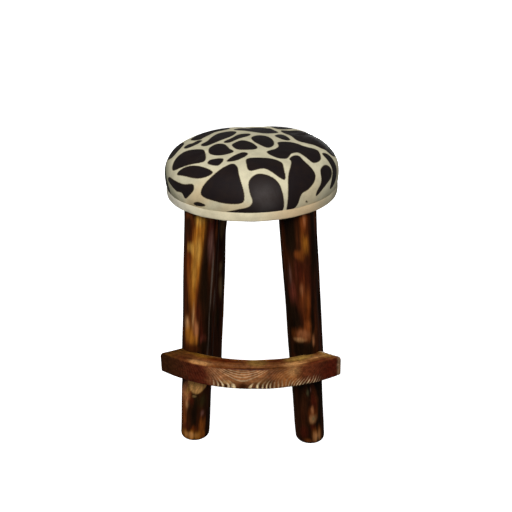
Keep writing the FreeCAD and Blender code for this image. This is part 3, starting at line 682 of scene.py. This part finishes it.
def makePlank(spec, rings, material):
    # the rings run the other way round, so that the faces look outwards
    points, *place = plankSkin(spec)
    stain, onFront = plankPaint(spec, *place)
    count, show = plankRings(spec, rings, *place)
    piece = addPiece("footrest_plank", [shell(points[:, ::-1])], material, {
        "stain": onShell(withAlpha(stain, show * onFront)[:, ::-1]), "rings": onShell(count[:, ::-1])})
    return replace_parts(piece, "footrest")


makePlank(plank, growth, scorchedPlank())

# Cushion: a foam dome under a printed pile cover that is drawn over the board's edge.
pad = {"radius": 180, "widest": 566, "crown": 640, "shoulder": 65, "crownRise": 9, "overhang": 3.2,
       "crease": 546.5, "hem": 530, "tuck": 4.3, "tuckRun": 8, "cover": 2.4, "foamGap": 2.8,
       "foamBase": 558.05, "pucker": 0.45, "puckerRun": 12, "puckerFrom": (-6, 0), "wander": 1.6,
       "wanderCrown": (8, 60), "wanderRim": (2, 16), "sideFull": 2.8, "backFull": 3, "backFullAt": 140,
       "backFullSpread": 0.6, "fullFrom": (60, 150), "fullTo": (185, 224),
       "columns": 288, "rows": 112, "rimRows": 10, "innerRows": 44, "crownRun": 1.5, "fineRows": 400,
       "foamColumns": 120, "foamRows": 60, "foamCrownRun": 3}
swellSpec = {"rows": 38, "columns": 96, "crownRun": 4, "slack": 3, "ripple": 0.5, "slackRun": 30,
             "most": 6, "frames": 20, "quality": 6, "mass": 0.25, "stretch": 25, "shear": 8, "bending": 0.6,
             "pressure": 4}


def padProfile(spec, run):
    # radius, level and outward normal of the pad at a run from the crown, and the run down to the crease:
    # crown arc, shoulder arc, bulge arc, then straight down
    shoulderR, rise = spec["shoulder"], spec["crownRise"]
    inX = spec["radius"] - shoulderR
    crownR = (inX ** 2 + (shoulderR + rise) ** 2 - shoulderR ** 2) / (2 * rise)
    bulgeHigh = spec["widest"] - spec["crease"]
    bulgeR = (spec["overhang"] ** 2 + bulgeHigh ** 2) / (2 * spec["overhang"])
    crownTurn = np.arcsin(inX / (crownR - shoulderR))
    bulgeTurn = np.arcsin(bulgeHigh / bulgeR)
    crownEnd = crownR * crownTurn
    shoulderEnd = crownEnd + shoulderR * (np.pi / 2 - crownTurn)
    bulgeEnd = shoulderEnd + bulgeR * bulgeTurn
    onCrown, onShoulder = run < crownEnd, run < shoulderEnd
    tilt = np.where(onCrown, run / crownR, crownTurn + (run - crownEnd) / shoulderR)
    onBulge = np.clip(run, shoulderEnd, bulgeEnd) - shoulderEnd
    tilt = np.where(onShoulder, tilt, np.pi / 2 + onBulge / bulgeR)
    arc = np.where(onCrown, crownR, np.where(onShoulder, shoulderR, bulgeR))
    middleR = np.where(onCrown, 0, np.where(onShoulder, inX, spec["radius"] - bulgeR))
    middleZ = np.where(onCrown, spec["crown"] - crownR, spec["widest"])
    straight = np.maximum(run - bulgeEnd, 0)
    normalR = np.where(straight > 0, 1, np.sin(tilt))
    normalZ = np.where(straight > 0, 0, np.cos(tilt))
    return middleR + arc * np.sin(tilt), middleZ + arc * np.cos(tilt) - straight, normalR, normalZ, bulgeEnd


creaseRun = padProfile(pad, np.array(0.0))[4]
hemRun = creaseRun + pad["crease"] - pad["hem"]


def padRings(spec, runs, turn, offset):
    # the pad's skin moved out along its normal
    radius, level, normalR, normalZ, _ = padProfile(spec, runs)
    return revolved(radius + offset * normalR, level + offset * normalZ, turn)


def finer(field, count, wrap):
    # smooth resampling of rows to a new count, by a spline between them
    size = len(field)
    place = np.arange(count) * size / count if wrap else np.linspace(0, size - 1, count)
    first = np.floor(place).astype(int)
    index = [(first + k) % size if wrap else np.clip(first + k, 0, size - 1) for k in (-1, 0, 1, 2)]
    return spline(*(field[i] for i in index), (place - first)[:, None])


def swellCover(spec, swell):
    # cloth: a slack cover pinned on the board's edge is blown up by the foam's pressure; gives its offset
    # from the pad
    rows, cols = swell["rows"], swell["columns"]
    runs = np.linspace(hemRun, swell["crownRun"], rows)[:, None]
    turn = circle(cols)
    free = fade(0, swell["slackRun"], creaseRun - runs)
    ripple = swell["ripple"] * waves(turn, runs, 41, turns=7, length=90)
    start = padRings(spec, runs, turn, free * (ripple - swell["slack"]))
    points, (skin, _, crownFan) = shell(start)
    mesh = bpy.data.meshes.new("slackCover")
    mesh.from_pydata(points * mm, [], skin.tolist() + crownFan.tolist())
    cloth = bpy.data.objects.new("slackCover", mesh)
    scene.collection.objects.link(cloth)
    pins = cloth.vertex_groups.new(name="rim")
    pins.add(np.flatnonzero(np.repeat(runs[:, 0] > creaseRun - 1, cols)).tolist(), 1, "REPLACE")
    modifier = cloth.modifiers.new("swell", "CLOTH")
    settings = modifier.settings
    settings.quality = swell["quality"]
    settings.mass = swell["mass"]
    settings.tension_stiffness = settings.compression_stiffness = swell["stretch"]
    settings.shear_stiffness = swell["shear"]
    settings.bending_stiffness = swell["bending"]
    settings.use_pressure = True
    settings.uniform_pressure_force = swell["pressure"]
    settings.vertex_group_mass = "rim"
    settings.effector_weights.gravity = 0
    modifier.point_cache.frame_end = swell["frames"]
    for frameNumber in range(1, swell["frames"] + 1):
        scene.frame_set(frameNumber)
    swollen = cloth.evaluated_get(bpy.context.evaluated_depsgraph_get()).to_mesh()
    moved = np.empty(len(points) * 3, np.float32)
    swollen.vertices.foreach_get("co", moved)
    move = moved.reshape(-1, 3)[:rows * cols].reshape(rows, cols, 3) / mm - start
    length = np.linalg.norm(move, axis=-1, keepdims=True)
    move *= np.minimum(1, swell["most"] / np.maximum(length, 1e-6))
    bpy.data.objects.remove(cloth)
    scene.frame_set(1)
    normalR, normalZ = padProfile(spec, runs)[2:4]
    normal = np.stack([normalR * np.sin(turn), -normalR * np.cos(turn), normalZ + 0 * turn], -1)
    offset = ((start + move - padRings(spec, runs, turn, 0)) * normal).sum(-1)
    print("cover swelled by", np.round(move[..., 2].max(), 2), "mm, from the pad",
          np.round((offset.min(), offset.max()), 2))
    return offset


# Patches of the print on the flat cloth, in millimetres from the crown: x to the right, y to the back.
patches = [
    [(-31, -126), (-18, -133), (-12, -160), (-1, -200), (-10, -215), (-50, -211), (-92, -190), (-97, -173),
     (-62, -149)],
    [(7, -172), (20, -156), (40, -154), (62, -162), (78, -180), (94, -216), (60, -234), (0, -242),
     (-56, -232), (0, -224), (16, -212), (9, -192)],
    [(82, -93), (88, -82), (99, -79), (112, -94), (138, -110), (143, -128), (136, -150), (124, -168),
     (126, -196), (107, -215), (95, -190), (84, -150), (86, -108)],
    [(1, -103), (40, -100), (66, -113), (75, -135), (79, -155), (67, -155), (36, -141), (8, -149),
     (0, -130)],
    [(58, -14), (80, -8), (105, -24), (133, -37), (143, -65), (130, -87), (113, -78), (98, -63), (84, -72),
     (75, -95), (56, -96), (37, -72), (54, -54), (60, -38)],
    [(60, 78), (66, 60), (82, 38), (98, 6), (125, -8), (160, -17), (175, -5), (178, 20), (162, 56),
     (130, 82), (96, 87), (76, 80)],
    [(2, 14), (14, 30), (30, 22), (42, 0), (46, -30), (38, -47), (26, -38), (8, -12)],
    [(-34, -28), (-20, -9), (-6, -15), (8, -34), (14, -52), (4, -60), (-20, -59), (-31, -44)],
    [(-79, -45), (-68, -24), (-54, -27), (-42, -53), (-31, -70), (-44, -82), (-62, -85), (-77, -73)],
    [(-162, -81), (-151, -61), (-125, -51), (-98, -51), (-88, -70), (-83, -103), (-97, -109), (-148, -95)],
    [(-151, -106), (-130, -104), (-98, -116), (-66, -142), (-78, -151), (-104, -145), (-136, -121)],
    [(-188, -84), (-178, -88), (-160, -115), (-138, -139), (-113, -153), (-118, -166), (-150, -166),
     (-154, -150), (-172, -132), (-184, -104)],
    [(-134, -186), (-117, -189), (-98, -203), (-110, -203), (-128, -194)],
    [(-78, -113), (-70, -102), (-50, -100), (-47, -112), (-56, -128), (-72, -122)],
    [(-40, -113), (-30, -93), (-12, -76), (-1, -82), (-8, -100), (-26, -115)],
    [(-133, -24), (-122, -4), (-108, 10), (-105, 0), (-118, -24), (-128, -34)],
    [(-99, -20), (-88, 2), (-82, 30), (-72, 58), (-50, 72), (-38, 62), (-42, 35), (-56, 12), (-78, -16),
     (-92, -30)],
    [(-53, -11), (-40, 12), (-26, 38), (-9, 42), (-8, 28), (-28, 6), (-44, -15)],
    [(-127, 28), (-120, 58), (-110, 84), (-92, 106), (-68, 120), (-56, 104), (-68, 88), (-84, 74),
     (-98, 44), (-112, 18)],
    [(-180, -14), (-164, -38), (-149, -30), (-142, -6), (-149, 26), (-168, 20)],
    [(-42, 90), (-22, 76), (4, 60), (28, 51), (50, 60), (42, 78), (28, 96), (-2, 106), (-30, 104)],
    [(36, 128), (42, 104), (56, 92), (76, 98), (88, 116), (70, 136)],
    [(49, 30), (56, 43), (66, 36), (77, 12), (72, 5), (58, 16)],
    [(149, -94), (158, -71), (174, -65), (182, -82), (174, -122), (166, -147), (160, -140), (160, -116)],
    [(148, -42), (160, -30), (180, -31), (196, -46), (204, -72), (202, -92), (195, -97), (188, -80),
     (180, -60), (164, -50)],
    [(-190, 12), (-203, -14), (-212, -50), (-218, -98), (-203, -100), (-195, -66), (-189, -34), (-185, -8)],
    [(141, -173), (147, -170), (152, -172), (146, -175)]]
# On the side away from view the patches are cells about these middles.
backCells = {"middles": [(204, 30), (173, 98), (146, 184), (76, 188), (22, 234), (-44, 196), (-132, 172),
                         (-158, 112), (-212, 70), (-208, 4), (116, 116), (10, 158), (-62, 138), (-104, 124),
                         (-134, 72), (226, -30), (-222, -52)],
             "channel": 9, "corner": 5, "edge": 133, "bend": 0.0035, "margin": 2}
printSpec = {"reach": 22.0, "spread": 2.4, "spreadFrom": (-110, -40), "pointsPerSpan": 8, "none": -12}


def patchDistance(u, v, outline, spec):
    # millimetres inside (+) or outside (-) a smooth closed curve through the points, limited to the reach
    knots, reach = np.array(outline, float), spec["reach"]
    share = np.arange(spec["pointsPerSpan"])[:, None, None] / spec["pointsPerSpan"]
    curve = spline(*(np.roll(knots, k, 0) for k in (1, 0, -1, -2)), share)
    start = curve.transpose(1, 0, 2).reshape(-1, 2)
    result = np.full(u.shape, -reach)
    low, high = start.min(0) - reach, start.max(0) + reach
    near = np.flatnonzero((u > low[0]) & (u < high[0]) & (v > low[1]) & (v < high[1]))
    x, y = u[near, None], v[near, None]
    x0, y0 = start.T
    x1, y1 = np.roll(start, -1, 0).T
    dx, dy = x1 - x0, y1 - y0
    along = np.clip(((x - x0) * dx + (y - y0) * dy) / (dx ** 2 + dy ** 2), 0, 1)
    gap = np.hypot(x - x0 - along * dx, y - y0 - along * dy).min(1)
    with np.errstate(divide="ignore", invalid="ignore"):
        crosses = ((y0 > y) != (y1 > y)) & (x < x0 + (y - y0) * dx / dy)
    result[near] = np.clip(np.where(crosses.sum(1) % 2, gap, -gap), -reach, reach)
    return result


def printField(u, v, spec, cells):
    # the deepest of all patches, and behind the seat the cells clear of them
    field = np.max([patchDistance(u, v, outline, spec) for outline in patches], 0)
    field = field + spec["spread"] * fade(*spec["spreadFrom"], v)
    middles = np.array(cells["middles"])
    far = np.sort(np.hypot(u[:, None] - middles[:, 0], v[:, None] - middles[:, 1]), -1)
    gaps = np.exp(-(far[:, 1:4] - far[:, :1]) / 2 / cells["corner"]).sum(1)
    cell = -cells["corner"] * np.log(gaps) - cells["channel"] / 2
    behind = v - cells["edge"] + cells["bend"] * u ** 2 - cells["margin"]
    return np.maximum(field, np.minimum(np.minimum(cell, behind), -field - cells["channel"]))


# Short-pile fabric, warp-knitted, sheared and printed: soft-edged dark patches on cream, with a nap that
# clouds the colour and a faint grey-green sheen at grazing angles. Painted shade and painted light lie in
# the cream ground, and a painted sheen lies on the front dark patch.
pile = {"dark": "#170f10", "darkBrown": "#1e1411", "rim": "#3a2a12", "sheen": "#c9cfc0", "nap": 26,
        "tuft": 2.4, "fuzz": 1.2, "rimFrom": (3.4, 1.4),
        "tones": {"cream": "#d2caab", "plain": "#e6dab8", "shadeGrey": "#74755f", "warm": "#ccac7a",
                  "chalk": "#e4decb", "sand": "#d4b284"},
        # painted sheen: a paler grey spot on the front dark patch
        "brushed": {"tone": "#665f5c", "middle": (44, -200), "half": (32, 28), "cover": 0.48},
        # painted shade and light as clouds on the ground: x and y on the cloth or degrees and level on the
        # band, then as in a stroke
        "coverFray": 0.12,
        # on the cover, painted shade: greyer on the left side and on the left towards the back, darker and
        # warmer towards the lower front
        "coverPaintedShade": [(-208, -50, 46, 110, "shadeGrey", 0.85), (-150, 120, 90, 80, "shadeGrey", 0.35),
                        (-112, -182, 66, 36, "warm", 0.55, 30), (-30, -222, 60, 14, "warm", 0.4),
                        (150, -160, 30, 60, "warm", 0.3)],
        # on the band, painted light: paler on its left side; painted shade: darker on its right side
        "bandPaintedLightAndShade": [(-66, 540, 34, 60, "chalk", 0.8), (36, 540, 26, 60, "sand", 0.7),
                       (72, 540, 26, 60, "shadeGrey", 0.3)]}


def pileFabric(name, spec, printed):
    # a cream ground with painted shade and painted light in it, under clouds of the nap, and where it is
    # printed the dye's patches over it, with a painted sheen on the front one
    material, tree, shader = newMaterial(name, {
        "Roughness": 0.85, "IOR": 1.45, "Specular IOR Level": 0.15, "Sheen Weight": 0.03,
        "Sheen Roughness": 0.45, "Sheen Tint": (*linear(spec["sheen"]), 1)})
    cloth = addNode(tree, "Attribute", {"attribute_name": "cloth"})  # mm on the flat cloth
    nap = addNode(tree, "TexNoise", {"Scale": 1 / spec["nap"], "Detail": 3, "Roughness": 0.6},
                  {"Vector": (cloth, "Vector")})
    tuft = addNode(tree, "TexNoise", {"Scale": 1 / spec["tuft"], "Detail": 2},
                   {"Vector": (cloth, "Vector")})  # tufts are drawn coarser than they are, so that they show
    blend = addNode(tree, "Math", {"operation": "MULTIPLY_ADD", 1: 0.35}, {0: (tuft, "Fac"), 2: (nap, "Fac")})
    shade = addNode(tree, "MapRange", {"ranges": (0.45, 0.8, 0.8, 1)}, {"Value": blend})
    # the ground colour, with painted shade and painted light in it
    ground = addNode(tree, "Attribute", {"attribute_name": "ground"})
    cream = addNode(tree, "VectorMath", {"operation": "SCALE"}, {0: (ground, "Color"), "Scale": shade})
    bump = addNode(tree, "Bump", {"Strength": 0.5, "Distance": 0.5 * mm}, {"Height": (tuft, "Fac")})
    wire(tree, shader, {"Base Color": cream, "Normal": bump})
    if printed:
        mark = addNode(tree, "Attribute", {"attribute_name": "print"})  # mm inside a patch
        shake = addNode(tree, "Math", {"operation": "MULTIPLY_ADD", 1: 2 * spec["fuzz"]},
                        {0: (tuft, "Fac"), 2: (mark, "Fac")})
        inside = addNode(tree, "MapRange", {"interpolation_type": "SMOOTHSTEP",
                                            "ranges": (spec["fuzz"] * 0.1, spec["fuzz"] * 1.9, 0, 1)},
                         {"Value": shake})
        stops = [(0.45, spec["darkBrown"]), (0.75, spec["dark"])]
        dark = addNode(tree, "ValToRGB", {"stops": stops}, {"Fac": blend})
        rim = addNode(tree, "MapRange", {"ranges": (*spec["rimFrom"], 0, 1)}, {"Value": shake})
        edged = addNode(tree, "Mix", {"data_type": "RGBA", 7: (*linear(spec["rim"]), 1)},
                        {0: rim, 6: dark})  # the dye thins out to brown at its edge
        brushed = addNode(tree, "Attribute", {"attribute_name": "brushed"})
        sheenShare = addNode(tree, "Math", {"operation": "MULTIPLY"}, {0: (brushed, "Fac"), 1: blend})
        dyed = addNode(tree, "Mix", {"data_type": "RGBA", 7: (*linear(spec["brushed"]["tone"]), 1)},
                       {0: sheenShare, 6: (edged, 2)})  # painted sheen: the dye is paler where the light glances off the front patch
        colour = addNode(tree, "Mix", {"data_type": "RGBA"}, {0: inside, 6: cream, 7: (dyed, 2)})
        rough = addNode(tree, "MapRange", {"ranges": (0, 1, 0.9, 0.7)},
                        {"Value": inside})  # dyed pile lies flatter and shines more
        wire(tree, shader, {"Base Color": (colour, 2), "Roughness": rough})
    return material


def makeCover(spec):
    # inner skin down from the crown to the hem, then the outer skin back up to the crown
    turn = circle(spec["columns"])
    rim = np.linspace(hemRun, creaseRun, spec["rimRows"])[:-1]
    runs = np.append(rim, np.linspace(creaseRun, spec["crownRun"], spec["rows"] - len(rim)))[:, None]
    innerRuns = np.linspace(spec["crownRun"], hemRun, spec["innerRows"])[:, None]
    offset = np.zeros((swellSpec["rows"], swellSpec["columns"]))
    offset = swellCover(spec, swellSpec)
    offset = np.clip(offset - np.median(offset, 1, keepdims=True), -spec["wander"], spec["wander"])
    last = spec["fineRows"] - 1
    fine = finer(finer(offset.T, spec["columns"], True).T, spec["fineRows"], False)
    rowPlace = (hemRun - runs[:, 0]) / (hemRun - swellSpec["crownRun"]) * last
    fine = fine[np.clip(np.round(rowPlace).astype(int), 0, last)]
    above, innerAbove = creaseRun - runs, creaseRun - innerRuns
    toward = np.abs(turn - np.radians(spec["backFullAt"]))
    full = spec["sideFull"] * np.sin(turn) ** 4 + spec["backFull"] * hump(0, spec["backFullSpread"], toward)
    full = full * fade(*spec["fullFrom"], runs) * (1 - fade(*spec["fullTo"], runs))  # fuller on its shoulders
    tuck, innerTuck = (spec["tuck"] * (1 - fade(-spec["tuckRun"], 0, way)) for way in (above, innerAbove))
    gather = 1 + waves(turn, runs, 43, turns=48, length=300)
    gather = -spec["pucker"] * np.exp(-np.abs(above) / spec["puckerRun"]) * gather
    gather = gather * fade(*spec["puckerFrom"], above)
    swollen = fine * fade(*spec["wanderCrown"], runs) * fade(*spec["wanderRim"], above)
    outer = padRings(spec, runs, turn, swollen + gather + full - tuck)  # tucked in under the band
    inner = padRings(spec, innerRuns, turn, -spec["cover"] - innerTuck)
    allRuns = np.concatenate([innerRuns, runs])
    u, v = allRuns * np.sin(turn), -allRuns * np.cos(turn)
    mark = printField(u.ravel(), v.ravel(), printSpec, backCells).reshape(u.shape)
    mark[:len(innerRuns)] = printSpec["none"]
    # painted sheen on the front dark patch, strongest at its middle
    (middleU, middleV), (halfU, halfV) = pile["brushed"]["middle"], pile["brushed"]["half"]
    brushed = pile["brushed"]["cover"] * hump(0, 1, np.hypot((u - middleU) / halfU, (v - middleV) / halfV))
    # cream ground with painted shade: greyer on the left, darker and warmer towards the lower front
    ground = painted(pile["tones"]["cream"], u.shape)
    fray = pile["coverFray"] * waves(u / 60, v, 44, turns=3, length=120)
    brush(ground, pile["coverPaintedShade"], pile["tones"], u, v, fray)
    piece = addPiece("seat_cover_pile", [shell(np.concatenate([inner, outer]))],
                     pileFabric("printedShortPileFabric", pile, True),
                     {"print": onShell(mark), "brushed": onShell(brushed),
                      "ground": onShell(withAlpha(ground, 1)), "cloth": onShell(np.stack([u, v, 0 * u], -1))})
    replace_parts(piece, "seat_cover")
    return piece


makeCover(pad)


# Open-cell polyurethane foam, block cut: pale yellow with fine pits.
def seatFoam():
    material, tree, shader = newMaterial("cutOpenCellFoam", {"Roughness": 0.95, "Specular IOR Level": 0.1})
    place = addNode(tree, "TexCoord", {})
    cells = addNode(tree, "TexVoronoi", {"Scale": 1 / (1.6 * mm)}, {"Vector": (place, "Object")})
    tint = addNode(tree, "ValToRGB", {"stops": [(0.1, "#b9a870"), (0.5, "#e4d7a8")]},
                   {"Fac": (cells, "Distance")})  # pits about 1.6 mm apart
    bump = addNode(tree, "Bump", {"Strength": 0.5, "Distance": 0.5 * mm}, {"Height": (cells, "Distance")})
    wire(tree, shader, {"Base Color": tint, "Normal": bump})
    return material


def makeFoam(spec):
    # the pad's profile moved in by the cover and a gap, cut level on the board
    turn = circle(spec["foamColumns"])
    runs = np.linspace(creaseRun, spec["foamCrownRun"], spec["foamRows"])[:, None]
    dome = padRings(spec, runs, turn, -spec["foamGap"])
    dome = dome[dome[:, 0, 2] > spec["foamBase"] + 0.2]
    base = dome[:1] * [1, 1, 0] + [0, 0, spec["foamBase"]]
    middle = np.array([0, seatY, spec["foamBase"]])
    floor = [middle + (base - middle) * share for share in (0.3, 0.65)]
    piece = addPiece("seat_foam", [shell(np.concatenate([*floor, base, dome]))], seatFoam())
    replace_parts(piece, "foam_pad")
    return piece


makeFoam(pad)

# Band: a padded strip of plain pile round the board's edge, its ends lapped at the back. Its inner side is
# given by steps out from the board's edge and their levels.
band = {"inner": 172.75, "low": 530, "lip": 548.7, "foot": 4.4, "swell": 5.7, "swellAt": 0.75, "tip": 5.4,
        "innerSteps": [(4.9, 548.6), (4.7, 547.5), (4.4, 546.5), (2.8, 543), (0.1, 538.5), (0, 530)],
        "footRound": 0.8, "outerRows": 14, "columns": 288, "dimple": 0.25, "lap": 0.7, "lapFrom": 174,
        "lipWobble": 0.175, "footWobble": 0.14, "footLift": 0.21, "clothRadius": 174, "clothShift": 900}


def makeBand(spec):
    # a strip section turned round the seat: thin at its foot, swelling upwards, its lip lying on the cushion
    turn = circle(spec["columns"])
    tall = spec["lip"] - spec["low"]
    rise = np.linspace(0, 1, spec["outerRows"])
    tipRise = np.maximum(0, (rise - spec["swellAt"]) / (1 - spec["swellAt"]))
    swelling = np.sin(np.minimum(rise / spec["swellAt"], 1) * np.pi / 2)
    outer = spec["foot"] + (spec["swell"] - spec["foot"]) * swelling
    outer = outer - (spec["swell"] - spec["tip"]) * tipRise ** 2
    outer[0] -= spec["footRound"]
    innerOut, innerLevel = np.array(spec["innerSteps"]).T
    across = np.append(outer, innerOut)[:, None]
    level = np.append(spec["low"] + tall * rise, innerLevel)[:, None]
    onOuter = np.append(np.ones_like(outer), np.zeros_like(innerOut))[:, None]
    lapped = np.abs(wrapped(turn, 2 * np.pi)) > np.radians(spec["lapFrom"])
    dimple = spec["dimple"] * waves(turn, level, 51, turns=40, length=40)
    radius = spec["inner"] + across + onOuter * (dimple + spec["lap"] * lapped)
    rise = (level - spec["low"]) / tall
    upper, lower = (waves(turn, 0, number, turns=24, length=1) for number in (52, 53))
    height = level + rise * spec["lipWobble"] * upper
    height = height + (1 - rise) * (spec["footLift"] + spec["footWobble"] * lower)
    height = np.maximum(height, spec["low"])
    rings = revolved(radius, height, turn)
    cloth = np.stack([turn * spec["clothRadius"] + 0 * height, height, 0 * height + spec["clothShift"]], -1)
    # plain ground with painted light on the band's left side and painted shade on its right
    ground = painted(pile["tones"]["plain"], height.shape)
    brush(ground, pile["bandPaintedLightAndShade"], pile["tones"], np.degrees(turn) + 0 * height, height, 0, 360)
    piece = addPiece("rim_band_pile", [(rings.reshape(-1, 3), [quads(*height.shape)])],
                     pileFabric("plainShortPileFabric", pile, False),
                     {"cloth": cloth, "ground": withAlpha(ground, 1)}, 80)
    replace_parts(piece, "rim_band")
    return piece


makeBand(band)


# Zinc-plated steel, drawn and tumbled: grey metal with a faint cloudiness.
def zincSteel():
    material, tree, shader = newMaterial("zincPlatedSteel", {"Metallic": 1.0})
    place = addNode(tree, "TexCoord", {})
    cloud = addNode(tree, "TexNoise", {"Scale": 1 / (2.5 * mm), "Detail": 3}, {"Vector": (place, "Object")})
    tint = addNode(tree, "ValToRGB", {"stops": [(0.3, "#8f8f8a"), (0.7, "#c4c3bc")]}, {"Fac": (cloud, "Fac")})
    rough = addNode(tree, "MapRange", {"ranges": (0, 1, 0.25, 0.5)}, {"Value": (cloud, "Fac")})
    wire(tree, shader, {"Base Color": tint, "Roughness": rough})
    return material


steel = zincSteel()
# Screws: countersunk, cross-recessed, from the back of each front leg into the footrest.
screw = {"head": 5, "shank": 2.5, "rim": 0.6, "rimTop": 0.1, "length": 77.5, "point": 7, "pitch": 2.4,
         "thread": 0.45, "recess": 2.6, "recessEdge": 1, "recessDepth": 1.8, "slotWidth": 0.9,
         "faceDepth": 0.02, "columns": 48,
         "faceRings": (0.3, 0.6, 0.9, 1.2, 1.6, 2, 2.4, 2.8, 3.4, 4.2, 4.8)}


def makeScrews(spec, material):
    # head face with a cross sunk into it, cone, then a shank whose radius rises and falls along a helix
    turn = circle(spec["columns"])
    face = np.array(spec["faceRings"])[:, None]
    inSlot = np.minimum(np.abs(face * np.cos(turn)), np.abs(face * np.sin(turn))) < spec["slotWidth"]
    cross = inSlot * fade(spec["recess"], spec["recess"] - spec["recessEdge"], face)
    run = np.arange(spec["rim"] + spec["head"] - spec["shank"], spec["length"], spec["pitch"] / 8)[:, None]
    taper = np.minimum(1, (spec["length"] - run) / spec["point"])
    helix = np.abs((run / spec["pitch"] - turn / (2 * np.pi)) % 1 - 0.5) * 2
    shank = spec["shank"] * np.maximum(taper, 0.05) - spec["thread"] * (1 - helix ** 2) * taper
    rim = np.array([[spec["rimTop"]], [spec["rim"]]])
    radius = np.concatenate([face + 0 * turn, spec["head"] + 0 * rim + 0 * turn, shank])
    depth = np.concatenate([cross * spec["recessDepth"] + spec["faceDepth"], rim + 0 * turn, run + 0 * turn])
    shells = []
    for name in ("front_left_leg", "front_right_leg"):
        for level in logs["screws"]["levels"]:
            way = screwPlace(logs, corners[name], level)[1]
            start = np.array(logAxis(logs, corners[name], level))
            start = start - way * (logTaper(logs, level) - logs["screws"]["sink"])
            side = np.array([-way[1], way[0]])
            plan = start + depth[..., None] * way + (radius * np.cos(turn))[..., None] * side
            shells.append(shell(np.concatenate([plan, (level + radius * np.sin(turn))[..., None]], -1)))
    piece = addPiece("footrest_screw_set", shells, material)
    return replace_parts(piece, "footrest_screws")


makeScrews(screw, steel)


# Sanded pine board and sawn beech: plain-sawn rings of a log whose heart lies below, along X, so that pale
# faces carry long darker bands and a fine fibre.
def sawnWood(name, spec):
    material, tree, shader = newMaterial(name, {"Roughness": 0.6, "Specular IOR Level": 0.3})
    place = addNode(tree, "TexCoord", {})
    drift = addNode(tree, "TexNoise", {"Scale": 1 / (200 * mm), "Detail": 2}, {"Vector": (place, "Object")})
    shift = addNode(tree, "VectorMath", {"operation": "MULTIPLY_ADD", 1: (0, 0.03, 0.03), 2: spec["heart"]},
                    {0: (drift, "Color")})
    moved = addNode(tree, "VectorMath", {"operation": "ADD"}, {0: (place, "Object"), 1: shift})
    rings = addNode(tree, "TexWave", {"wave_type": "RINGS", "rings_direction": "X", "wave_profile": "SAW",
                                      "Scale": waveRepeat / (spec["ring"] * mm)}, {"Vector": moved})
    drawn = addNode(tree, "Mapping", {"Scale": (0.05, 1, 1)}, {"Vector": (place, "Object")})
    fibre = addNode(tree, "TexNoise", {"Scale": 1 / (1.667 * mm), "Detail": 3}, {"Vector": drawn})
    both = addNode(tree, "Math", {"operation": "MULTIPLY_ADD", 1: 0.55},
                   {0: (fibre, "Fac"), 2: (rings, "Fac")})
    stops = [(0.2, spec["light"]), (1.2 / 1.55, spec["light"]), (1, spec["dark"])]
    tint = addNode(tree, "ValToRGB", {"stops": stops}, {"Fac": both})
    bump = addNode(tree, "Bump", {"Strength": 0.25, "Distance": 0.2 * mm}, {"Height": both})
    wire(tree, shader, {"Base Color": tint, "Normal": bump})
    return material


pineBoard = {"light": "#cfae7c", "dark": "#a97c48", "ring": 4, "heart": (0, -0.2, -0.42)}
beech = {"light": "#c39a6e", "dark": "#9c7048", "ring": 2, "heart": (0, 0.1, -0.5)}
finishes = {"seat_board": sawnWood("sandedPineBoard", pineBoard),
            "tenon_wedges": sawnWood("sawnBeech", beech), "cover_staples": steel}
for name, material in finishes.items():
    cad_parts[name].data.materials.clear()
    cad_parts[name].data.materials.append(material)
print("solids finished:", ", ".join(finishes))

# Floor: a wide pale sheet that glows like the photograph's white ground.
floorSpec = {"half": 60, "colour": "#f8f8f8", "glow": 0.95}


def makeFloor(spec):
    # one square, wide enough to fill the picture
    half = spec["half"]
    material = newMaterial("paleFloor", {
        "Roughness": 0.9, "Specular IOR Level": 0.0, "Base Color": (*linear(spec["colour"]), 1),
        "Emission Color": (1, 1, 1, 1), "Emission Strength": spec["glow"]})[0]
    mesh = bpy.data.meshes.new("floor")
    square = [(-half, -half, 0), (half, -half, 0), (half, half, 0), (-half, half, 0)]
    mesh.from_pydata(square, [], [(0, 1, 2, 3)])
    mesh.materials.append(material)
    floor = bpy.data.objects.new("floor", mesh)
    scene.collection.objects.link(floor)
    floor.visible_diffuse = floor.visible_glossy = False  # its glow stays off the dark lacquer


makeFloor(floorSpec)
# Light: a soft key from above the camera, a weak side light, and one low behind for the legs.
lights = {"worldStrength": 0.17, "worldSeen": 1.0, "target": (0, 0, 0.45),
          "lamps": {"key": {"place": (0.0, -2.0, 2.35), "size": 1.6, "power": 76},
                    "side": {"place": (-1.9, -0.6, 1.3), "size": 0.5, "power": 0.6},
                    "back": {"place": (0.3, 2.2, 0.26), "size": 0.8, "power": 22}}}


def makeLights(spec):
    # a white world that only the camera sees at full strength, and area lamps aimed at the target
    world = bpy.data.worlds.new("studio")
    world.use_nodes = True
    backdrop = world.node_tree.nodes["Background"]
    backdrop.inputs["Color"].default_value = (1, 1, 1, 1)
    seen = addNode(world.node_tree, "LightPath", {})
    strength = addNode(world.node_tree, "MapRange",
                       {"ranges": (0, 1, spec["worldStrength"], spec["worldSeen"])},
                       {"Value": (seen, "Is Camera Ray")})  # the room looks white but lights the stool softly
    wire(world.node_tree, backdrop, {"Strength": strength})
    scene.world = world
    for name, values in spec["lamps"].items():
        lamp = bpy.data.lights.new(name, "AREA")
        lamp.size = values["size"]
        lamp.energy = values["power"]
        holder = bpy.data.objects.new(name, lamp)
        holder.location = values["place"]
        holder.rotation_euler = (Vector(spec["target"]) - holder.location).to_track_quat("-Z", "Y").to_euler()
        scene.collection.objects.link(holder)


makeLights(lights)
scene.view_settings.view_transform = "Standard"
print("light and floor set")
